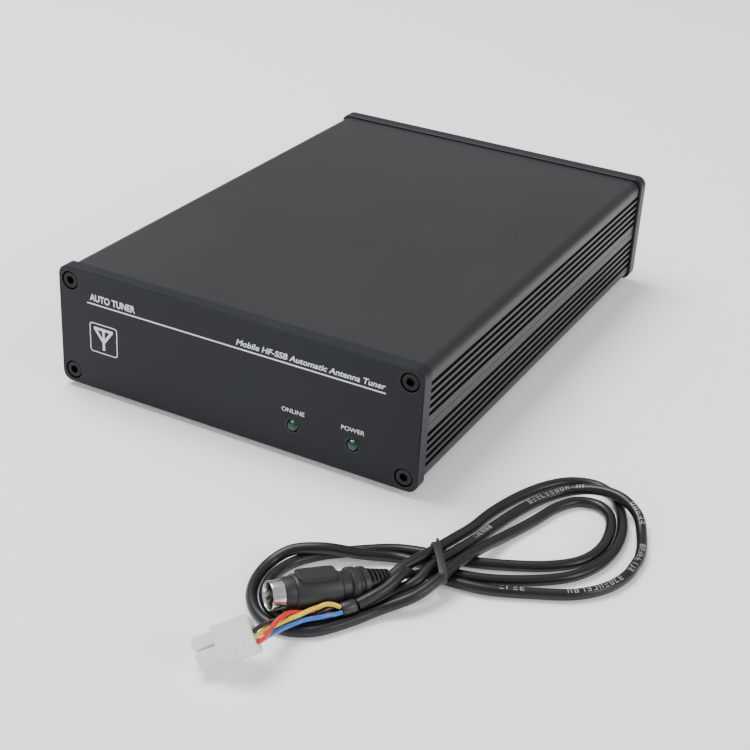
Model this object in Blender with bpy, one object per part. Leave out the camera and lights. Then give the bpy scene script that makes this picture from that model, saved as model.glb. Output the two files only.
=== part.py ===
"""Automatic antenna tuner in a split, finned aluminium case, with its loose interface cable.

Blender 4.5, metres, +Z up. The front faces -Y. The origin is on the surface that the tuner
stands on, under the middle of the tuner itself, counted from its LEDs to its rear sockets.
"""

import math

import bmesh
import bpy
import numpy as np
from mathutils import Euler, Matrix, Vector

# ---------------------------------------------------------------- driving sizes, in metres
WIDTH = 0.155            # over the end panels
HEIGHT = 0.049           # of the end panels
DEPTH = 0.225            # from the front panel's face to the rear panel's face
PANEL_THICK = 0.0062
PANEL_CORNER = 0.004
PANEL_EDGE = 0.0005      # small bevel round both faces
BODY_STEP = 0.001        # how far the panels stand proud of the case all round
BODY_CORNER = 0.004
SIDE_WALL = 0.003
TOP_WALL = 0.002
SPLIT_GAP = 0.0003       # joint between the two half shells
GAP = 0.0003             # clearance between pieces that touch
FOOT_DROP = 0.002        # how far the panels clear the surface

GROOVE_COUNT = 5         # cooling grooves above and below the joint, on each side
GROOVE_FIRST = 0.0042
GROOVE_PITCH = 0.00303
GROOVE_WIDTH = 0.0019
GROOVE_DEEP = 0.0014

SCREW_INSET = 0.0055     # from the panel's edges to a screw's axis
SCREW_R = 0.002
SCREW_HEAD_R = 0.0035
SCREW_HEAD = 0.004
SCREW_LONG = 0.0145      # under the head
SCREW_KEY = 0.0015       # half the width across the hexagon's flats
BOSS_R = 0.0036
BORE_R = SCREW_R + GAP
SINK_R = SCREW_HEAD_R + 0.00035
SINK_DEEP = 0.0046

SLOT_Z = 0.0115          # circuit board slot, from the joint
SLOT_HALF = 0.0011
RAIL_THICK = 0.0012
RAIL_OUT = 0.002
BOARD_THICK = 0.0016

FOOT_R = 0.006
FOOT_INSET_X = 0.016
FOOT_INSET_Y = 0.022

LED_R = 0.0025
LED_Z = 0.012            # above the panel's lower edge
LED_X = {"online_led": 0.0267, "power_led": 0.0514}
LED_PROUD = 0.0015

SOCKET_X = 0.046         # radio and antenna sockets, either side of the middle
SOCKET_FLANGE = 0.0254
SOCKET_FLANGE_THICK = 0.0022
SOCKET_SCREW_PITCH = 0.0178
BARREL_R = 0.0079
BARREL_ROOT_R = 0.0074
BARREL_BORE_R = 0.006
BARREL_LONG = 0.0113
SHANK_R = 0.0068
SHANK_LONG = 0.009
THREAD_TURNS = 6
CONTACT_R = 0.0025
CONTACT_BORE_R = 0.002
INSULATOR_SINK = 0.0055  # how deep the insulator sits in the barrel

JACK_X = -0.008
JACK_R = 0.0064
JACK_WELL_R = 0.0048
JACK_WELL_DEEP = 0.005
JACK_WIDE = 0.014
JACK_BOX = 0.0125
JACK_LIFT = 0.0004

GROUND_X = 0.016
GROUND_Z = 0.003         # above the joint
GROUND_R = 0.002
GROUND_PITCH = 0.0007
GROUND_LONG = 0.0125

CORD_D = 0.0038
WIRE_D = 0.0015
PLUG_R = 0.006
SHELL_R = 0.00465
SHELL_WALL = 0.0004

# ---------------------------------------------------------------- places worked out from them
BARREL_OUT = SOCKET_FLANGE_THICK + BARREL_LONG
FRONT_Y = -(DEPTH + BARREL_OUT + LED_PROUD) / 2 + LED_PROUD
BACK_Y = FRONT_Y + DEPTH
MID_Z = FOOT_DROP + HEIGHT / 2
CASE_FRONT = FRONT_Y + PANEL_THICK + GAP
CASE_BACK = BACK_Y - PANEL_THICK - GAP
CASE_X = WIDTH / 2 - BODY_STEP
CASE_Z = HEIGHT / 2 - BODY_STEP
SCREW_X = WIDTH / 2 - SCREW_INSET
SCREW_Z = HEIGHT / 2 - SCREW_INSET
BOARD_TOP = MID_Z - SLOT_Z + BOARD_THICK / 2
BOARD_FRONT = CASE_FRONT + 0.0035
BOARD_BACK = CASE_BACK - 0.0006
FEED_BACK = BACK_Y - SHANK_LONG - 0.004   # rear face of the copper straps
COUPLER_Y = FEED_BACK - 0.0155
COIL_Y = COUPLER_Y - 0.030
RELAY_Y = COIL_Y - 0.036
CONTROLLER_Y = BOARD_FRONT + 0.0565
REGULATOR_Y = BOARD_FRONT + 0.0685
CAPACITOR_Y = BOARD_FRONT + 0.0485

# ---------------------------------------------------------------- the cable's chosen route
# From the plug's boot through the tied figure of eight to the jacket's end, in millimetres.
# Three turns pass round the right loop and two round the left one; z is the cord's middle.
CORD_ROUTE = [
    (94.6, -171.2, 5.9), (96.3, -165.2, 7.1), (100.0, -154.7, 7.4), (102.1, -141.7, 5.9),
    (103.3, -127.3, 3.1), (104.4, -114.1, 2.0), (108.0, -100.6, 2.0), (113.7, -87.9, 2.0),
    (120.5, -80.0, 2.0), (128.6, -77.1, 2.0), (136.1, -79.7, 2.0), (142.3, -87.9, 2.0),
    (147.1, -99.5, 2.0), (148.9, -112.6, 2.0), (147.1, -124.3, 2.0), (142.0, -134.1, 2.0),
    (133.3, -142.1, 2.0), (120.8, -149.9, 2.2), (110.7, -154.1, 2.8), (98.9, -154.4, 2.7),
    (88.8, -155.5, 2.2), (79.4, -161.3, 3.3), (68.6, -168.4, 5.8), (59.9, -174.0, 5.0),
    (56.1, -180.6, 2.8), (56.7, -190.7, 2.0), (61.2, -200.0, 2.0), (68.6, -206.1, 2.0),
    (77.2, -207.3, 2.0), (85.0, -203.4, 2.0), (91.9, -193.8, 2.0), (97.6, -184.3, 2.8),
    (105.7, -174.3, 5.4), (108.6, -165.6, 7.0), (110.0, -152.5, 6.9), (112.0, -138.9, 4.8),
    (114.5, -125.3, 2.4), (118.8, -111.3, 2.0), (122.8, -97.9, 2.0), (127.7, -90.7, 2.0),
    (134.4, -89.1, 2.0), (140.1, -93.2, 2.0), (143.8, -102.8, 2.0), (144.6, -114.6, 2.0),
    (141.5, -124.4, 2.0), (133.9, -132.4, 2.0), (122.5, -139.2, 2.0), (109.2, -145.4, 2.3),
    (97.8, -148.3, 2.6), (87.2, -151.5, 2.3), (76.3, -159.0, 2.0), (66.2, -168.7, 2.0),
    (61.2, -177.7, 2.0), (60.5, -187.9, 2.0), (64.1, -196.8, 2.0), (71.0, -202.1, 2.0),
    (77.6, -201.9, 2.0), (85.8, -194.5, 2.0), (92.6, -185.6, 2.0), (97.7, -176.5, 4.1),
    (103.0, -168.9, 6.3), (103.7, -161.3, 7.2), (106.5, -147.7, 6.6), (107.7, -134.0, 3.8),
    (109.2, -120.2, 2.2), (112.5, -105.9, 2.0), (117.2, -93.5, 2.0), (123.4, -86.5, 3.0),
    (131.7, -84.7, 5.2), (141.1, -86.3, 6.3), (149.1, -90.7, 4.5), (154.0, -99.1, 2.2),
    (157.7, -111.8, 2.0), (157.6, -123.6, 2.0), (153.9, -134.1, 2.0), (146.7, -142.5, 2.0),
    (135.2, -149.1, 2.0), (121.3, -155.7, 2.2), (110.2, -158.2, 2.6), (102.4, -159.5, 3.2),
    (100.0, -164.6, 4.5), (99.0, -170.4, 8.9), (97.2, -179.9, 7.8), (92.5, -188.8, 5.7),
]
WIRE_ROUTES = {
    "wire_black": [
        (88.0, -193.2, 5.5), (86.7, -195.4, 6.2), (85.7, -197.5, 6.2), (84.2, -199.7, 5.3),
        (82.6, -201.4, 4.7), (80.5, -203.0, 4.9), (78.9, -204.9, 5.5), (77.9, -206.8, 6.2),
        (77.2, -209.2, 7.1), (76.9, -211.3, 7.9), (76.7, -213.8, 8.9), (76.7, -216.3, 10.0),
        (76.9, -218.5, 11.0), (77.4, -220.9, 12.2), (77.7, -223.0, 13.1), (78.2, -225.6, 14.0),
    ],
    "wire_yellow": [
        (89.2, -193.8, 6.6), (87.5, -195.3, 7.8), (85.8, -196.7, 8.1), (84.2, -198.6, 7.6),
        (83.0, -200.5, 7.5), (81.9, -202.9, 7.4), (80.9, -205.3, 7.3), (80.0, -207.3, 7.4),
        (79.1, -209.8, 7.6), (78.7, -211.9, 8.0), (78.4, -214.5, 8.6), (78.3, -217.0, 9.3),
        (78.3, -219.2, 10.0), (78.5, -221.6, 10.9), (78.9, -223.7, 11.8), (79.3, -226.2, 12.8),
    ],
    "wire_red": [
        (89.3, -193.6, 4.0), (87.2, -195.3, 4.3), (85.2, -196.6, 4.7), (83.1, -198.2, 5.1),
        (81.9, -200.0, 5.7), (80.5, -202.2, 6.5), (79.3, -204.4, 7.4), (78.7, -206.4, 8.3),
        (78.5, -209.0, 9.1), (78.6, -211.2, 9.7), (78.8, -213.9, 10.2), (79.3, -216.5, 10.7),
        (79.8, -218.8, 11.0), (80.3, -221.5, 11.2), (80.6, -223.8, 11.3), (80.2, -226.5, 11.3),
    ],
    "wire_blue": [
        (90.3, -194.3, 5.4), (88.9, -196.3, 5.3), (87.7, -197.9, 5.5), (86.3, -199.9, 5.6),
        (85.0, -201.5, 5.7), (83.4, -203.2, 5.7), (82.0, -205.2, 5.7), (81.2, -207.0, 5.8),
        (80.5, -209.3, 6.1), (79.9, -211.3, 6.4), (79.5, -213.6, 6.8), (79.3, -216.0, 7.4),
        (79.2, -218.0, 7.9), (79.3, -220.3, 8.7), (79.4, -222.3, 9.3), (79.5, -224.6, 10.0),
    ],
}
CORD_SAMPLES = 84
WIRE_SAMPLES = 22
PLUG_TIP = Vector((0.0701, -0.2050, 0.0102))   # resting on the strands of the left loop
PLUG_TURN = math.radians(53.1)
PLUG_DROP = math.radians(7.3)
PLUG_AXIS = Vector((math.cos(PLUG_TURN) * math.cos(PLUG_DROP),
                    math.sin(PLUG_TURN) * math.cos(PLUG_DROP), -math.sin(PLUG_DROP)))
BOOT_END = Vector((0.09436, -0.17193, 0.00585))
SLEEVE_ENDS = ((0.09217, -0.18933, 0.00566), (0.0894, -0.1934, 0.0054))
TIE_PLACE = (0.1040, -0.1556)
TIE_TURN = math.radians(34.0)
TIE_HALF_WIDE = 0.0132
TIE_HIGH = 0.0102
TIE_BAND = 0.0026
TIE_THICK = 0.0005
HOUSING_PLACE = (0.0731, -0.2272, 0.00975)
HOUSING_TURN = (math.radians(36.1), math.radians(-22.7), math.radians(37.0))
HOUSING_SIZE = (0.01135, 0.0103, 0.0095)
NOSE_SIZE = (0.0068, 0.0088, 0.0066)


# ---------------------------------------------------------------- making meshes
def material(name, colour, roughness, metallic=0.0):
    """A Principled material of one colour."""
    mat = bpy.data.materials.new(name)
    mat.use_nodes = True
    shader = mat.node_tree.nodes["Principled BSDF"]
    shader.inputs["Base Color"].default_value = (*colour, 1.0)
    shader.inputs["Roughness"].default_value = roughness
    shader.inputs["Metallic"].default_value = metallic
    mat.diffuse_color = (*colour, 1.0)
    return mat


def solid(name, verts, faces, mat, smooth_angle=None):
    """A named object from vertices and faces, with its normals turned outwards."""
    mesh = bpy.data.meshes.new(name)
    mesh.from_pydata([tuple(v) for v in verts], [], [tuple(f) for f in faces])
    bm = bmesh.new()
    bm.from_mesh(mesh)
    bmesh.ops.remove_doubles(bm, verts=bm.verts, dist=1e-6)
    bmesh.ops.recalc_face_normals(bm, faces=bm.faces)
    bm.to_mesh(mesh)
    bm.free()
    if smooth_angle:
        mesh.shade_smooth()
        mesh.set_sharp_from_angle(angle=math.radians(smooth_angle))
    if mat:
        mesh.materials.append(mat)
    thing = bpy.data.objects.new(name, mesh)
    bpy.context.collection.objects.link(thing)
    return thing


def loft(rings, closed=False):
    """Vertices and faces of a skin through rings of equal count: capped, or closed on itself."""
    count = len(rings[0])
    verts = [v for ring in rings for v in ring]
    faces = []
    spans = len(rings) if closed else len(rings) - 1
    for i in range(spans):
        a, b = i * count, ((i + 1) % len(rings)) * count
        for k in range(count):
            n = (k + 1) % count
            faces.append((a + k, a + n, b + n, b + k))
    if not closed:
        faces.append(tuple(range(count)))
        faces.append(tuple(range(len(verts) - count, len(verts))))
    return verts, faces


def ring(radius, height, segments, sides=0):
    """Points round +Z at a height: a circle, or a regular polygon of that inner radius."""
    points = []
    for k in range(segments):
        angle = 2 * math.pi * k / segments
        r = radius
        if sides:
            half = math.pi / sides
            r = radius / math.cos((angle + half) % (2 * half) - half)
        points.append((r * math.cos(angle), r * math.sin(angle), height))
    return points


def turned(name, profile, mat, segments=24, closed=False, smooth=35):
    """A turned piece round +Z from (radius, height[, sides]) rows, bottom to top."""
    rings = [ring(row[0], row[1], segments, row[2] if len(row) > 2 else 0) for row in profile]
    return solid(name, *loft(rings, closed), mat, smooth)


def block(name, size, centre, mat, bevel=0.0):
    """A box, with its upright and level edges bevelled if asked."""
    bm = bmesh.new()
    bmesh.ops.create_cube(bm, size=1.0)
    bmesh.ops.scale(bm, vec=size, verts=bm.verts)
    if bevel:
        bmesh.ops.bevel(bm, geom=bm.edges, offset=bevel, segments=1, affect="EDGES")
    bmesh.ops.translate(bm, vec=centre, verts=bm.verts)
    mesh = bpy.data.meshes.new(name)
    bm.to_mesh(mesh)
    bm.free()
    if mat:
        mesh.materials.append(mat)
    thing = bpy.data.objects.new(name, mesh)
    bpy.context.collection.objects.link(thing)
    return thing


def place(thing, location=(0, 0, 0), rotation=(0, 0, 0)):
    thing.location = location
    thing.rotation_euler = Euler(rotation)
    return thing


FACING_FRONT = (math.radians(90), 0, 0)    # turns +Z to -Y
FACING_BACK = (math.radians(-90), 0, 0)    # turns +Z to +Y


def combine(target, tool, operation):
    """Union with, or cut by, a hidden helper object."""
    tool.hide_render = True
    tool.display_type = "WIRE"
    step = target.modifiers.new(operation.lower(), "BOOLEAN")
    step.operation = operation
    step.object = tool
    step.solver = "EXACT"


def cut(target, tool):
    combine(target, tool, "DIFFERENCE")


def weld(target, tool):
    combine(target, tool, "UNION")


def arc(cx, cz, radius, start, end, steps):
    """Points on a circular arc, in degrees."""
    angles = np.radians(np.linspace(start, end, steps + 1))
    return [(cx + radius * math.cos(a), cz + radius * math.sin(a)) for a in angles]


def rounded_rectangle(half_x, half_z, corner, steps=6):
    points = []
    for sx, sz, start in ((1, 1, 0), (-1, 1, 90), (-1, -1, 180), (1, -1, 270)):
        centre = (sx * (half_x - corner), sz * (half_z - corner))
        points += arc(*centre, corner, start, start + 90, steps)
    return points


def smooth_points(route, samples):
    """Points on a centripetal Catmull-Rom curve through the route's, closer where it bends."""
    points = np.array(route, float) / 1000
    points = np.vstack([2 * points[0] - points[1], points, 2 * points[-1] - points[-2]])
    dense = []
    for i in range(1, len(points) - 2):
        p = points[i - 1:i + 3]
        gaps = np.linalg.norm(np.diff(p, axis=0), axis=1) ** 0.5
        knots = np.concatenate([[0.0], np.cumsum(gaps)])
        t = np.linspace(knots[1], knots[2], 12, endpoint=False)[:, None]
        a = [((knots[k + 1] - t) * p[k] + (t - knots[k]) * p[k + 1]) / gaps[k] for k in range(3)]
        b = [((knots[k + 2] - t) * a[k] + (t - knots[k]) * a[k + 1]) / (knots[k + 2] - knots[k])
             for k in range(2)]
        dense.append(((knots[2] - t) * b[0] + (t - knots[1]) * b[1]) / gaps[1])
    dense = np.vstack(dense + [points[-2:-1]])
    steps = np.diff(dense, axis=0)
    lengths = np.linalg.norm(steps, axis=1)
    headings = steps / lengths[:, None]
    turns = np.linalg.norm(np.diff(headings, axis=0, prepend=headings[:1]), axis=1)
    weight = np.sqrt(lengths * (lengths / 0.02 + turns))
    along = np.concatenate([[0.0], np.cumsum(weight)])
    even = np.linspace(0, along[-1], samples)
    return np.stack([np.interp(even, along, dense[:, k]) for k in range(3)], axis=1)


def tube(name, points, diameter, resolution, mat):
    """A round cord as a curve with a bevel and filled ends."""
    curve = bpy.data.curves.new(name, "CURVE")
    curve.dimensions = "3D"
    curve.bevel_depth = diameter / 2
    curve.bevel_resolution = resolution
    curve.use_fill_caps = True
    curve.resolution_u = 1
    spline = curve.splines.new("POLY")
    spline.points.add(len(points) - 1)
    for point, place_at in zip(spline.points, points):
        point.co = (*place_at, 1.0)
    spline.use_smooth = True
    curve.materials.append(mat)
    thing = bpy.data.objects.new(name, curve)
    bpy.context.collection.objects.link(thing)
    return thing


# ---------------------------------------------------------------- the case
def shell_outline():
    """The upper half shell's section, right half first, from its foot at the joint."""
    foot = SPLIT_GAP / 2
    right = [(CASE_X, foot)]
    for k in range(GROOVE_COUNT):
        middle = GROOVE_FIRST + k * GROOVE_PITCH
        low, high = middle - GROOVE_WIDTH / 2, middle + GROOVE_WIDTH / 2
        right += [(CASE_X, low), (CASE_X - GROOVE_DEEP, low),
                  (CASE_X - GROOVE_DEEP, high), (CASE_X, high)]
    right += arc(CASE_X - BODY_CORNER, CASE_Z - BODY_CORNER, BODY_CORNER, 0, 90, 8)
    ceiling = CASE_Z - TOP_WALL
    wall = CASE_X - SIDE_WALL
    start = 180 - math.degrees(math.asin((ceiling - SCREW_Z) / BOSS_R))
    end = 360 - math.degrees(math.acos((wall - SCREW_X) / BOSS_R))
    inner = arc(SCREW_X, SCREW_Z, BOSS_R, start, end, 8)
    inner.append((wall, foot))
    return right, inner


def board_rails(shell, name, up):
    """Two rails along each side wall, with the circuit board's slot between them."""
    wide = RAIL_OUT + SIDE_WALL / 4
    size = (wide, CASE_BACK - CASE_FRONT, RAIL_THICK)
    for side in (-1, 1):
        for edge in (-1, 1):
            x = side * (CASE_X - SIDE_WALL - RAIL_OUT + wide / 2)
            z = MID_Z + up * (SLOT_Z + edge * (SLOT_HALF + RAIL_THICK / 2))
            spot = (x, (CASE_FRONT + CASE_BACK) / 2, z)
            weld(shell, block(f"{name}_rail_{side}_{edge}", size, spot, None))


def half_shell(name, up, mat):
    """One extrusion; the same section turned over makes the other half."""
    right, inner = shell_outline()
    section = right + [(-x, z) for x, z in right[::-1]]
    section += [(-x, z) for x, z in inner[::-1]] + inner
    rings = [[(x, y, MID_Z + up * z) for x, z in section] for y in (CASE_FRONT, CASE_BACK)]
    shell = solid(name, *loft(rings), mat, 30)
    board_rails(shell, name, up)
    for side in (-1, 1):
        bore = turned(f"{name}_bore_{side}", [(BORE_R, -0.001), (BORE_R, DEPTH)], None, 16)
        cut(shell, place(bore, (side * SCREW_X, CASE_FRONT - 0.001, MID_Z + up * SCREW_Z),
                         FACING_BACK))
    return shell


def panel(name, face_y, inward, mat):
    """A rounded plate with a fine bevel round both faces and four sunk screw holes."""
    rings = []
    for inset, depth in ((PANEL_EDGE, 0), (0, PANEL_EDGE), (0, PANEL_THICK - PANEL_EDGE),
                         (PANEL_EDGE, PANEL_THICK)):
        outline = rounded_rectangle(WIDTH / 2 - inset, HEIGHT / 2 - inset, PANEL_CORNER - inset)
        rings.append([(x, face_y + inward * depth, MID_Z + z) for x, z in outline])
    plate = solid(name, *loft(rings), mat, 30)
    turn = FACING_BACK if inward > 0 else FACING_FRONT
    hole = [(SINK_R, -0.001), (SINK_R, SINK_DEEP), (BORE_R, SINK_DEEP), (BORE_R, PANEL_THICK + 0.001)]
    for k, (sx, sz) in enumerate(CORNERS):
        tool = turned(f"{name}_sink_{k}", hole, None)
        cut(plate, place(tool, (sx * SCREW_X, face_y, MID_Z + sz * SCREW_Z), turn))
    return plate


CORNERS = ((-1, 1), (1, 1), (-1, -1), (1, -1))
CORNER_NAMES = ("top_left", "top_right", "bottom_left", "bottom_right")


def through(plate, name, radius, x, z, y):
    """A plain round hole along Y through a panel."""
    tool = turned(name, [(radius, -0.02), (radius, 0.02)], None)
    cut(plate, place(tool, (x, y, z), FACING_BACK))


def cap_screws(end, face_y, turn, outward, mat):
    """Four sunk socket-head screws, one object each on one shared mesh."""
    profile = [(SCREW_R, -SCREW_HEAD - SCREW_LONG), (SCREW_R, -SCREW_HEAD),
               (SCREW_HEAD_R, -SCREW_HEAD), (SCREW_HEAD_R, -0.0004), (SCREW_HEAD_R - 0.0004, 0),
               (SCREW_KEY, 0, 6), (SCREW_KEY, -0.002, 6)]
    first = None
    for (sx, sz), corner in zip(CORNERS, CORNER_NAMES):
        name = f"{end}_screw_{corner}"
        if first is None:
            screw = first = turned(name, profile, mat)
        else:
            screw = bpy.data.objects.new(name, first.data)
            bpy.context.collection.objects.link(screw)
        depth = SINK_DEEP - GAP - SCREW_HEAD
        place(screw, (sx * SCREW_X, face_y - outward * depth, MID_Z + sz * SCREW_Z), turn)


def feet(mat):
    high = FOOT_DROP + BODY_STEP - GAP
    profile = [(FOOT_R - 0.001, 0), (FOOT_R, 0.0006), (FOOT_R, high)]
    names = ("front_left", "front_right", "rear_left", "rear_right")
    spots = [(sx, sy) for sy in (-1, 1) for sx in (-1, 1)]
    middle = (CASE_FRONT + CASE_BACK) / 2
    reach = (CASE_BACK - CASE_FRONT) / 2 - FOOT_INSET_Y
    for name, (sx, sy) in zip(names, spots):
        foot = turned(f"foot_{name}", profile, mat)
        place(foot, (sx * (CASE_X - FOOT_INSET_X), middle + sy * reach, 0))


def leds(mat):
    """Round indicator lamps through the front panel, their leads under the board's edge."""
    back = -PANEL_THICK - 0.0028
    for name, x in LED_X.items():
        dome = [(LED_R * math.cos(a), LED_PROUD - LED_R + LED_R * math.sin(a))
                for a in np.radians([0, 22, 44, 64, 82])]
        profile = [(LED_R + 0.0004, back), (LED_R + 0.0004, -PANEL_THICK - GAP - 0.0006),
                   (LED_R, -PANEL_THICK - GAP - 0.0006)] + dome
        z = FOOT_DROP + LED_Z
        led = turned(name, profile, mat, 20)
        place(led, (x, FRONT_Y, z), FACING_FRONT)
        for side in (-1, 1):
            start = FRONT_Y - back - 0.0005
            long = BOARD_FRONT + 0.003 - start
            under_board = BOARD_TOP - BOARD_THICK - GAP - 0.00025
            lead = block(f"{name}_lead_{side}", (0.0005, long, 0.0005),
                         (x + side * 0.00127, start + long / 2, min(z - 0.0011, under_board)),
                         None)
            weld(led, lead)


# ---------------------------------------------------------------- rear connectors
def coax_socket(name, x, mats):
    """A flanged coaxial socket: threaded barrel, insulator and spring contact."""
    root = MID_Z
    face = BACK_Y + GAP
    flange_mid = face + SOCKET_FLANGE_THICK / 2
    body = block(f"{name}_socket", (SOCKET_FLANGE, SOCKET_FLANGE_THICK, SOCKET_FLANGE),
                 (x, flange_mid, root), mats["nickel"], 0.0003)
    top = BARREL_OUT - GAP
    thread = [(SHANK_R, -SHANK_LONG), (SHANK_R, 0.001), (BARREL_ROOT_R, 0.001)]
    low = SOCKET_FLANGE_THICK + 0.0012
    step = (top - 0.0008 - low) / THREAD_TURNS
    for k in range(THREAD_TURNS):
        thread += [(BARREL_ROOT_R, low + k * step), (BARREL_R, low + (k + 0.5) * step)]
    thread += [(BARREL_ROOT_R, top - 0.0008), (BARREL_ROOT_R - 0.0005, top)]
    weld(body, place(turned(f"{name}_barrel", thread, None), (x, face, root), FACING_BACK))
    bore = [(BARREL_BORE_R, -SHANK_LONG - 0.001), (BARREL_BORE_R, BARREL_OUT + 0.001)]
    cut(body, place(turned(f"{name}_bore", bore, None), (x, face, root), FACING_BACK))
    half = SOCKET_SCREW_PITCH / 2
    for sx, sz in CORNERS:
        tool = turned(f"{name}_flange_hole_{sx}_{sz}", [(0.0018, -0.001), (0.0018, 0.004)], None, 12)
        cut(body, place(tool, (x + sx * half, face, root + sz * half), FACING_BACK))
    ins_top = top - INSULATOR_SINK
    sleeve = [(BARREL_BORE_R - GAP, -SHANK_LONG), (BARREL_BORE_R - GAP, ins_top),
              (CONTACT_R + GAP, ins_top), (CONTACT_R + GAP, -SHANK_LONG)]
    ring_piece = turned(f"{name}_insulator", sleeve, mats["ptfe"], closed=True)
    place(ring_piece, (x, face, root), FACING_BACK)
    pin = [(0.0012, -SHANK_LONG - 0.004), (0.0012, -SHANK_LONG - 0.0005), (CONTACT_R, -SHANK_LONG),
           (CONTACT_R, ins_top), (CONTACT_BORE_R, ins_top), (CONTACT_BORE_R, ins_top - 0.008)]
    place(turned(f"{name}_contact", pin, mats["brass"], 16), (x, face, root), FACING_BACK)
    for k, (sx, sz) in enumerate((CORNERS[0], CORNERS[3])):
        head = SOCKET_FLANGE_THICK + GAP
        profile = [(0.0012, -0.0052), (0.0012, head), (0.0027, head), (0.0027, head + 0.0011),
                   (0.0016, head + 0.0018)]
        screw = turned(f"{name}_flange_screw_{k + 1}", profile, mats["steel"], 16)
        place(screw, (x + sx * half, face, root + sz * half), FACING_BACK)


def rear_holes(plate):
    """Holes for the two coaxial sockets and their screws, the jack and the ground stud."""
    half = SOCKET_SCREW_PITCH / 2
    for x in (-SOCKET_X, SOCKET_X):
        through(plate, f"shank_hole_{x}", SHANK_R + GAP, x, MID_Z, BACK_Y)
        for sx, sz in (CORNERS[0], CORNERS[3]):
            through(plate, f"tap_{x}_{sx}", 0.0015, x + sx * half, MID_Z + sz * half, BACK_Y)
    through(plate, "jack_hole", JACK_R + GAP, JACK_X, jack_z(), BACK_Y)
    through(plate, "ground_hole", GROUND_R + GAP, GROUND_X, MID_Z + GROUND_Z, BACK_Y)


def jack_z():
    """The round jack's middle: its box stands on the circuit board."""
    return BOARD_TOP + JACK_LIFT + JACK_BOX / 2


def interface_jack(mat):
    """The panel jack that the cable's round plug fits: a box on the board with a round nose."""
    back = BACK_Y - PANEL_THICK - GAP - JACK_BOX
    body = block("interface_jack", (JACK_WIDE, JACK_BOX, JACK_BOX),
                 (JACK_X, back + JACK_BOX / 2, jack_z()), mat)
    reach = BACK_Y - back - JACK_BOX
    nose = turned("jack_nose", [(JACK_R, -0.002), (JACK_R, reach - 0.0003), (JACK_R - 0.0003, reach)],
                  None)
    weld(body, place(nose, (JACK_X, back + JACK_BOX, jack_z()), FACING_BACK))
    well = turned("jack_well", [(JACK_WELL_R, -JACK_WELL_DEEP), (JACK_WELL_R, 0.001)], None)
    cut(body, place(well, (JACK_X, BACK_Y, jack_z()), FACING_BACK))
    for angle in (30, 150, 210, 330):
        hole = turned(f"jack_pin_{angle}", [(0.0006, -JACK_WELL_DEEP - 0.004), (0.0006, 0)], None, 8)
        spot = (JACK_X + 0.0026 * math.cos(math.radians(angle)), BACK_Y,
                jack_z() + 0.0026 * math.sin(math.radians(angle)))
        cut(body, place(hole, spot, FACING_BACK))


def ground_terminal(mats):
    """Earth stud with its inner hexagon, lock nut, washer and wing nut."""
    spot = (GROUND_X, BACK_Y, MID_Z + GROUND_Z)
    stud = [(0.0035, -PANEL_THICK - GAP - 0.003, 6), (0.0035, -PANEL_THICK - GAP, 6),
            (GROUND_R, -PANEL_THICK - GAP), (GROUND_R, GROUND_LONG - 0.0005),
            (GROUND_R - 0.0005, GROUND_LONG)]
    place(turned("ground_stud", stud, mats["brass"]), spot, FACING_BACK)
    bore = GROUND_R + 0.0002

    def collar(name, outer, low, high, mat, sides=0):
        rows = [(outer, low, sides), (outer, high, sides), (bore, high), (bore, low)]
        return place(turned(name, rows, mat, closed=True), spot, FACING_BACK)

    collar("ground_lock_nut", 0.0035, GAP, GAP + 0.0026, mats["brass"], 6)
    washer_low = 2 * GAP + 0.0026
    collar("ground_washer", 0.0044, washer_low, washer_low + 0.0008, mats["nickel"])
    low = washer_low + 0.0008 + GAP
    rows = [(0.0036, low), (0.0036, low + 0.0012), (0.003, low + 0.0042), (bore, low + 0.0042),
            (bore, low)]
    nut = place(turned("ground_wing_nut", rows, mats["brass"], closed=True), spot, FACING_BACK)
    for side in (-1, 1):
        wing = [(side * x, z) for x, z in ((0.0028, 0.0002), (0.0064, 0.0022), (0.0080, 0.0052),
                                           (0.0074, 0.0066), (0.0058, 0.0060), (0.0046, 0.0038),
                                           (0.0028, 0.0030))]
        rings = [[(x, y, low + z) for x, z in wing] for y in (-0.0008, 0.0008)]
        blade = solid(f"wing_{side}", *loft(rings), None)
        weld(nut, place(blade, spot, FACING_BACK))


# ---------------------------------------------------------------- inside
def board(mat):
    """The circuit board in the lower shell's slots."""
    half = CASE_X - SIDE_WALL - 0.0004
    block("circuit_board", (2 * half, BOARD_BACK - BOARD_FRONT, BOARD_THICK),
          (0, (BOARD_FRONT + BOARD_BACK) / 2, BOARD_TOP - BOARD_THICK / 2), mat)


def feeds(mats):
    """Copper straps from the coaxial contacts down to the board."""
    for name, x in (("radio", -SOCKET_X), ("antenna", SOCKET_X)):
        y = FEED_BACK
        path = [(BOARD_TOP + GAP, y - 0.004), (BOARD_TOP + GAP, y), (MID_Z + 0.0015, y)]
        thick = 0.0005
        rings = []
        for sx in (-0.0015, 0.0015):
            outer = [(x + sx, p[1], p[0]) for p in path]
            inner = [(x + sx, path[2][1] - thick, path[2][0]),
                     (x + sx, path[1][1] - thick, path[1][0] + thick),
                     (x + sx, path[0][1], path[0][0] + thick)]
            rings.append(outer + inner)
        solid(f"{name}_feed", *loft(rings), mats["copper"])


def wound_ring(name, x, y, major, minor, mat):
    """A coil on a ring core, lying flat on the board."""
    rings = []
    for k in range(24):
        a = 2 * math.pi * k / 24
        rings.append([((major + minor * math.cos(b)) * math.cos(a),
                       (major + minor * math.cos(b)) * math.sin(a), minor * math.sin(b))
                      for b in np.linspace(0, 2 * math.pi, 10, endpoint=False)])
    coil = solid(name, *loft(rings, closed=True), mat, 60)
    place(coil, (x, y, BOARD_TOP + GAP + minor))


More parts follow.
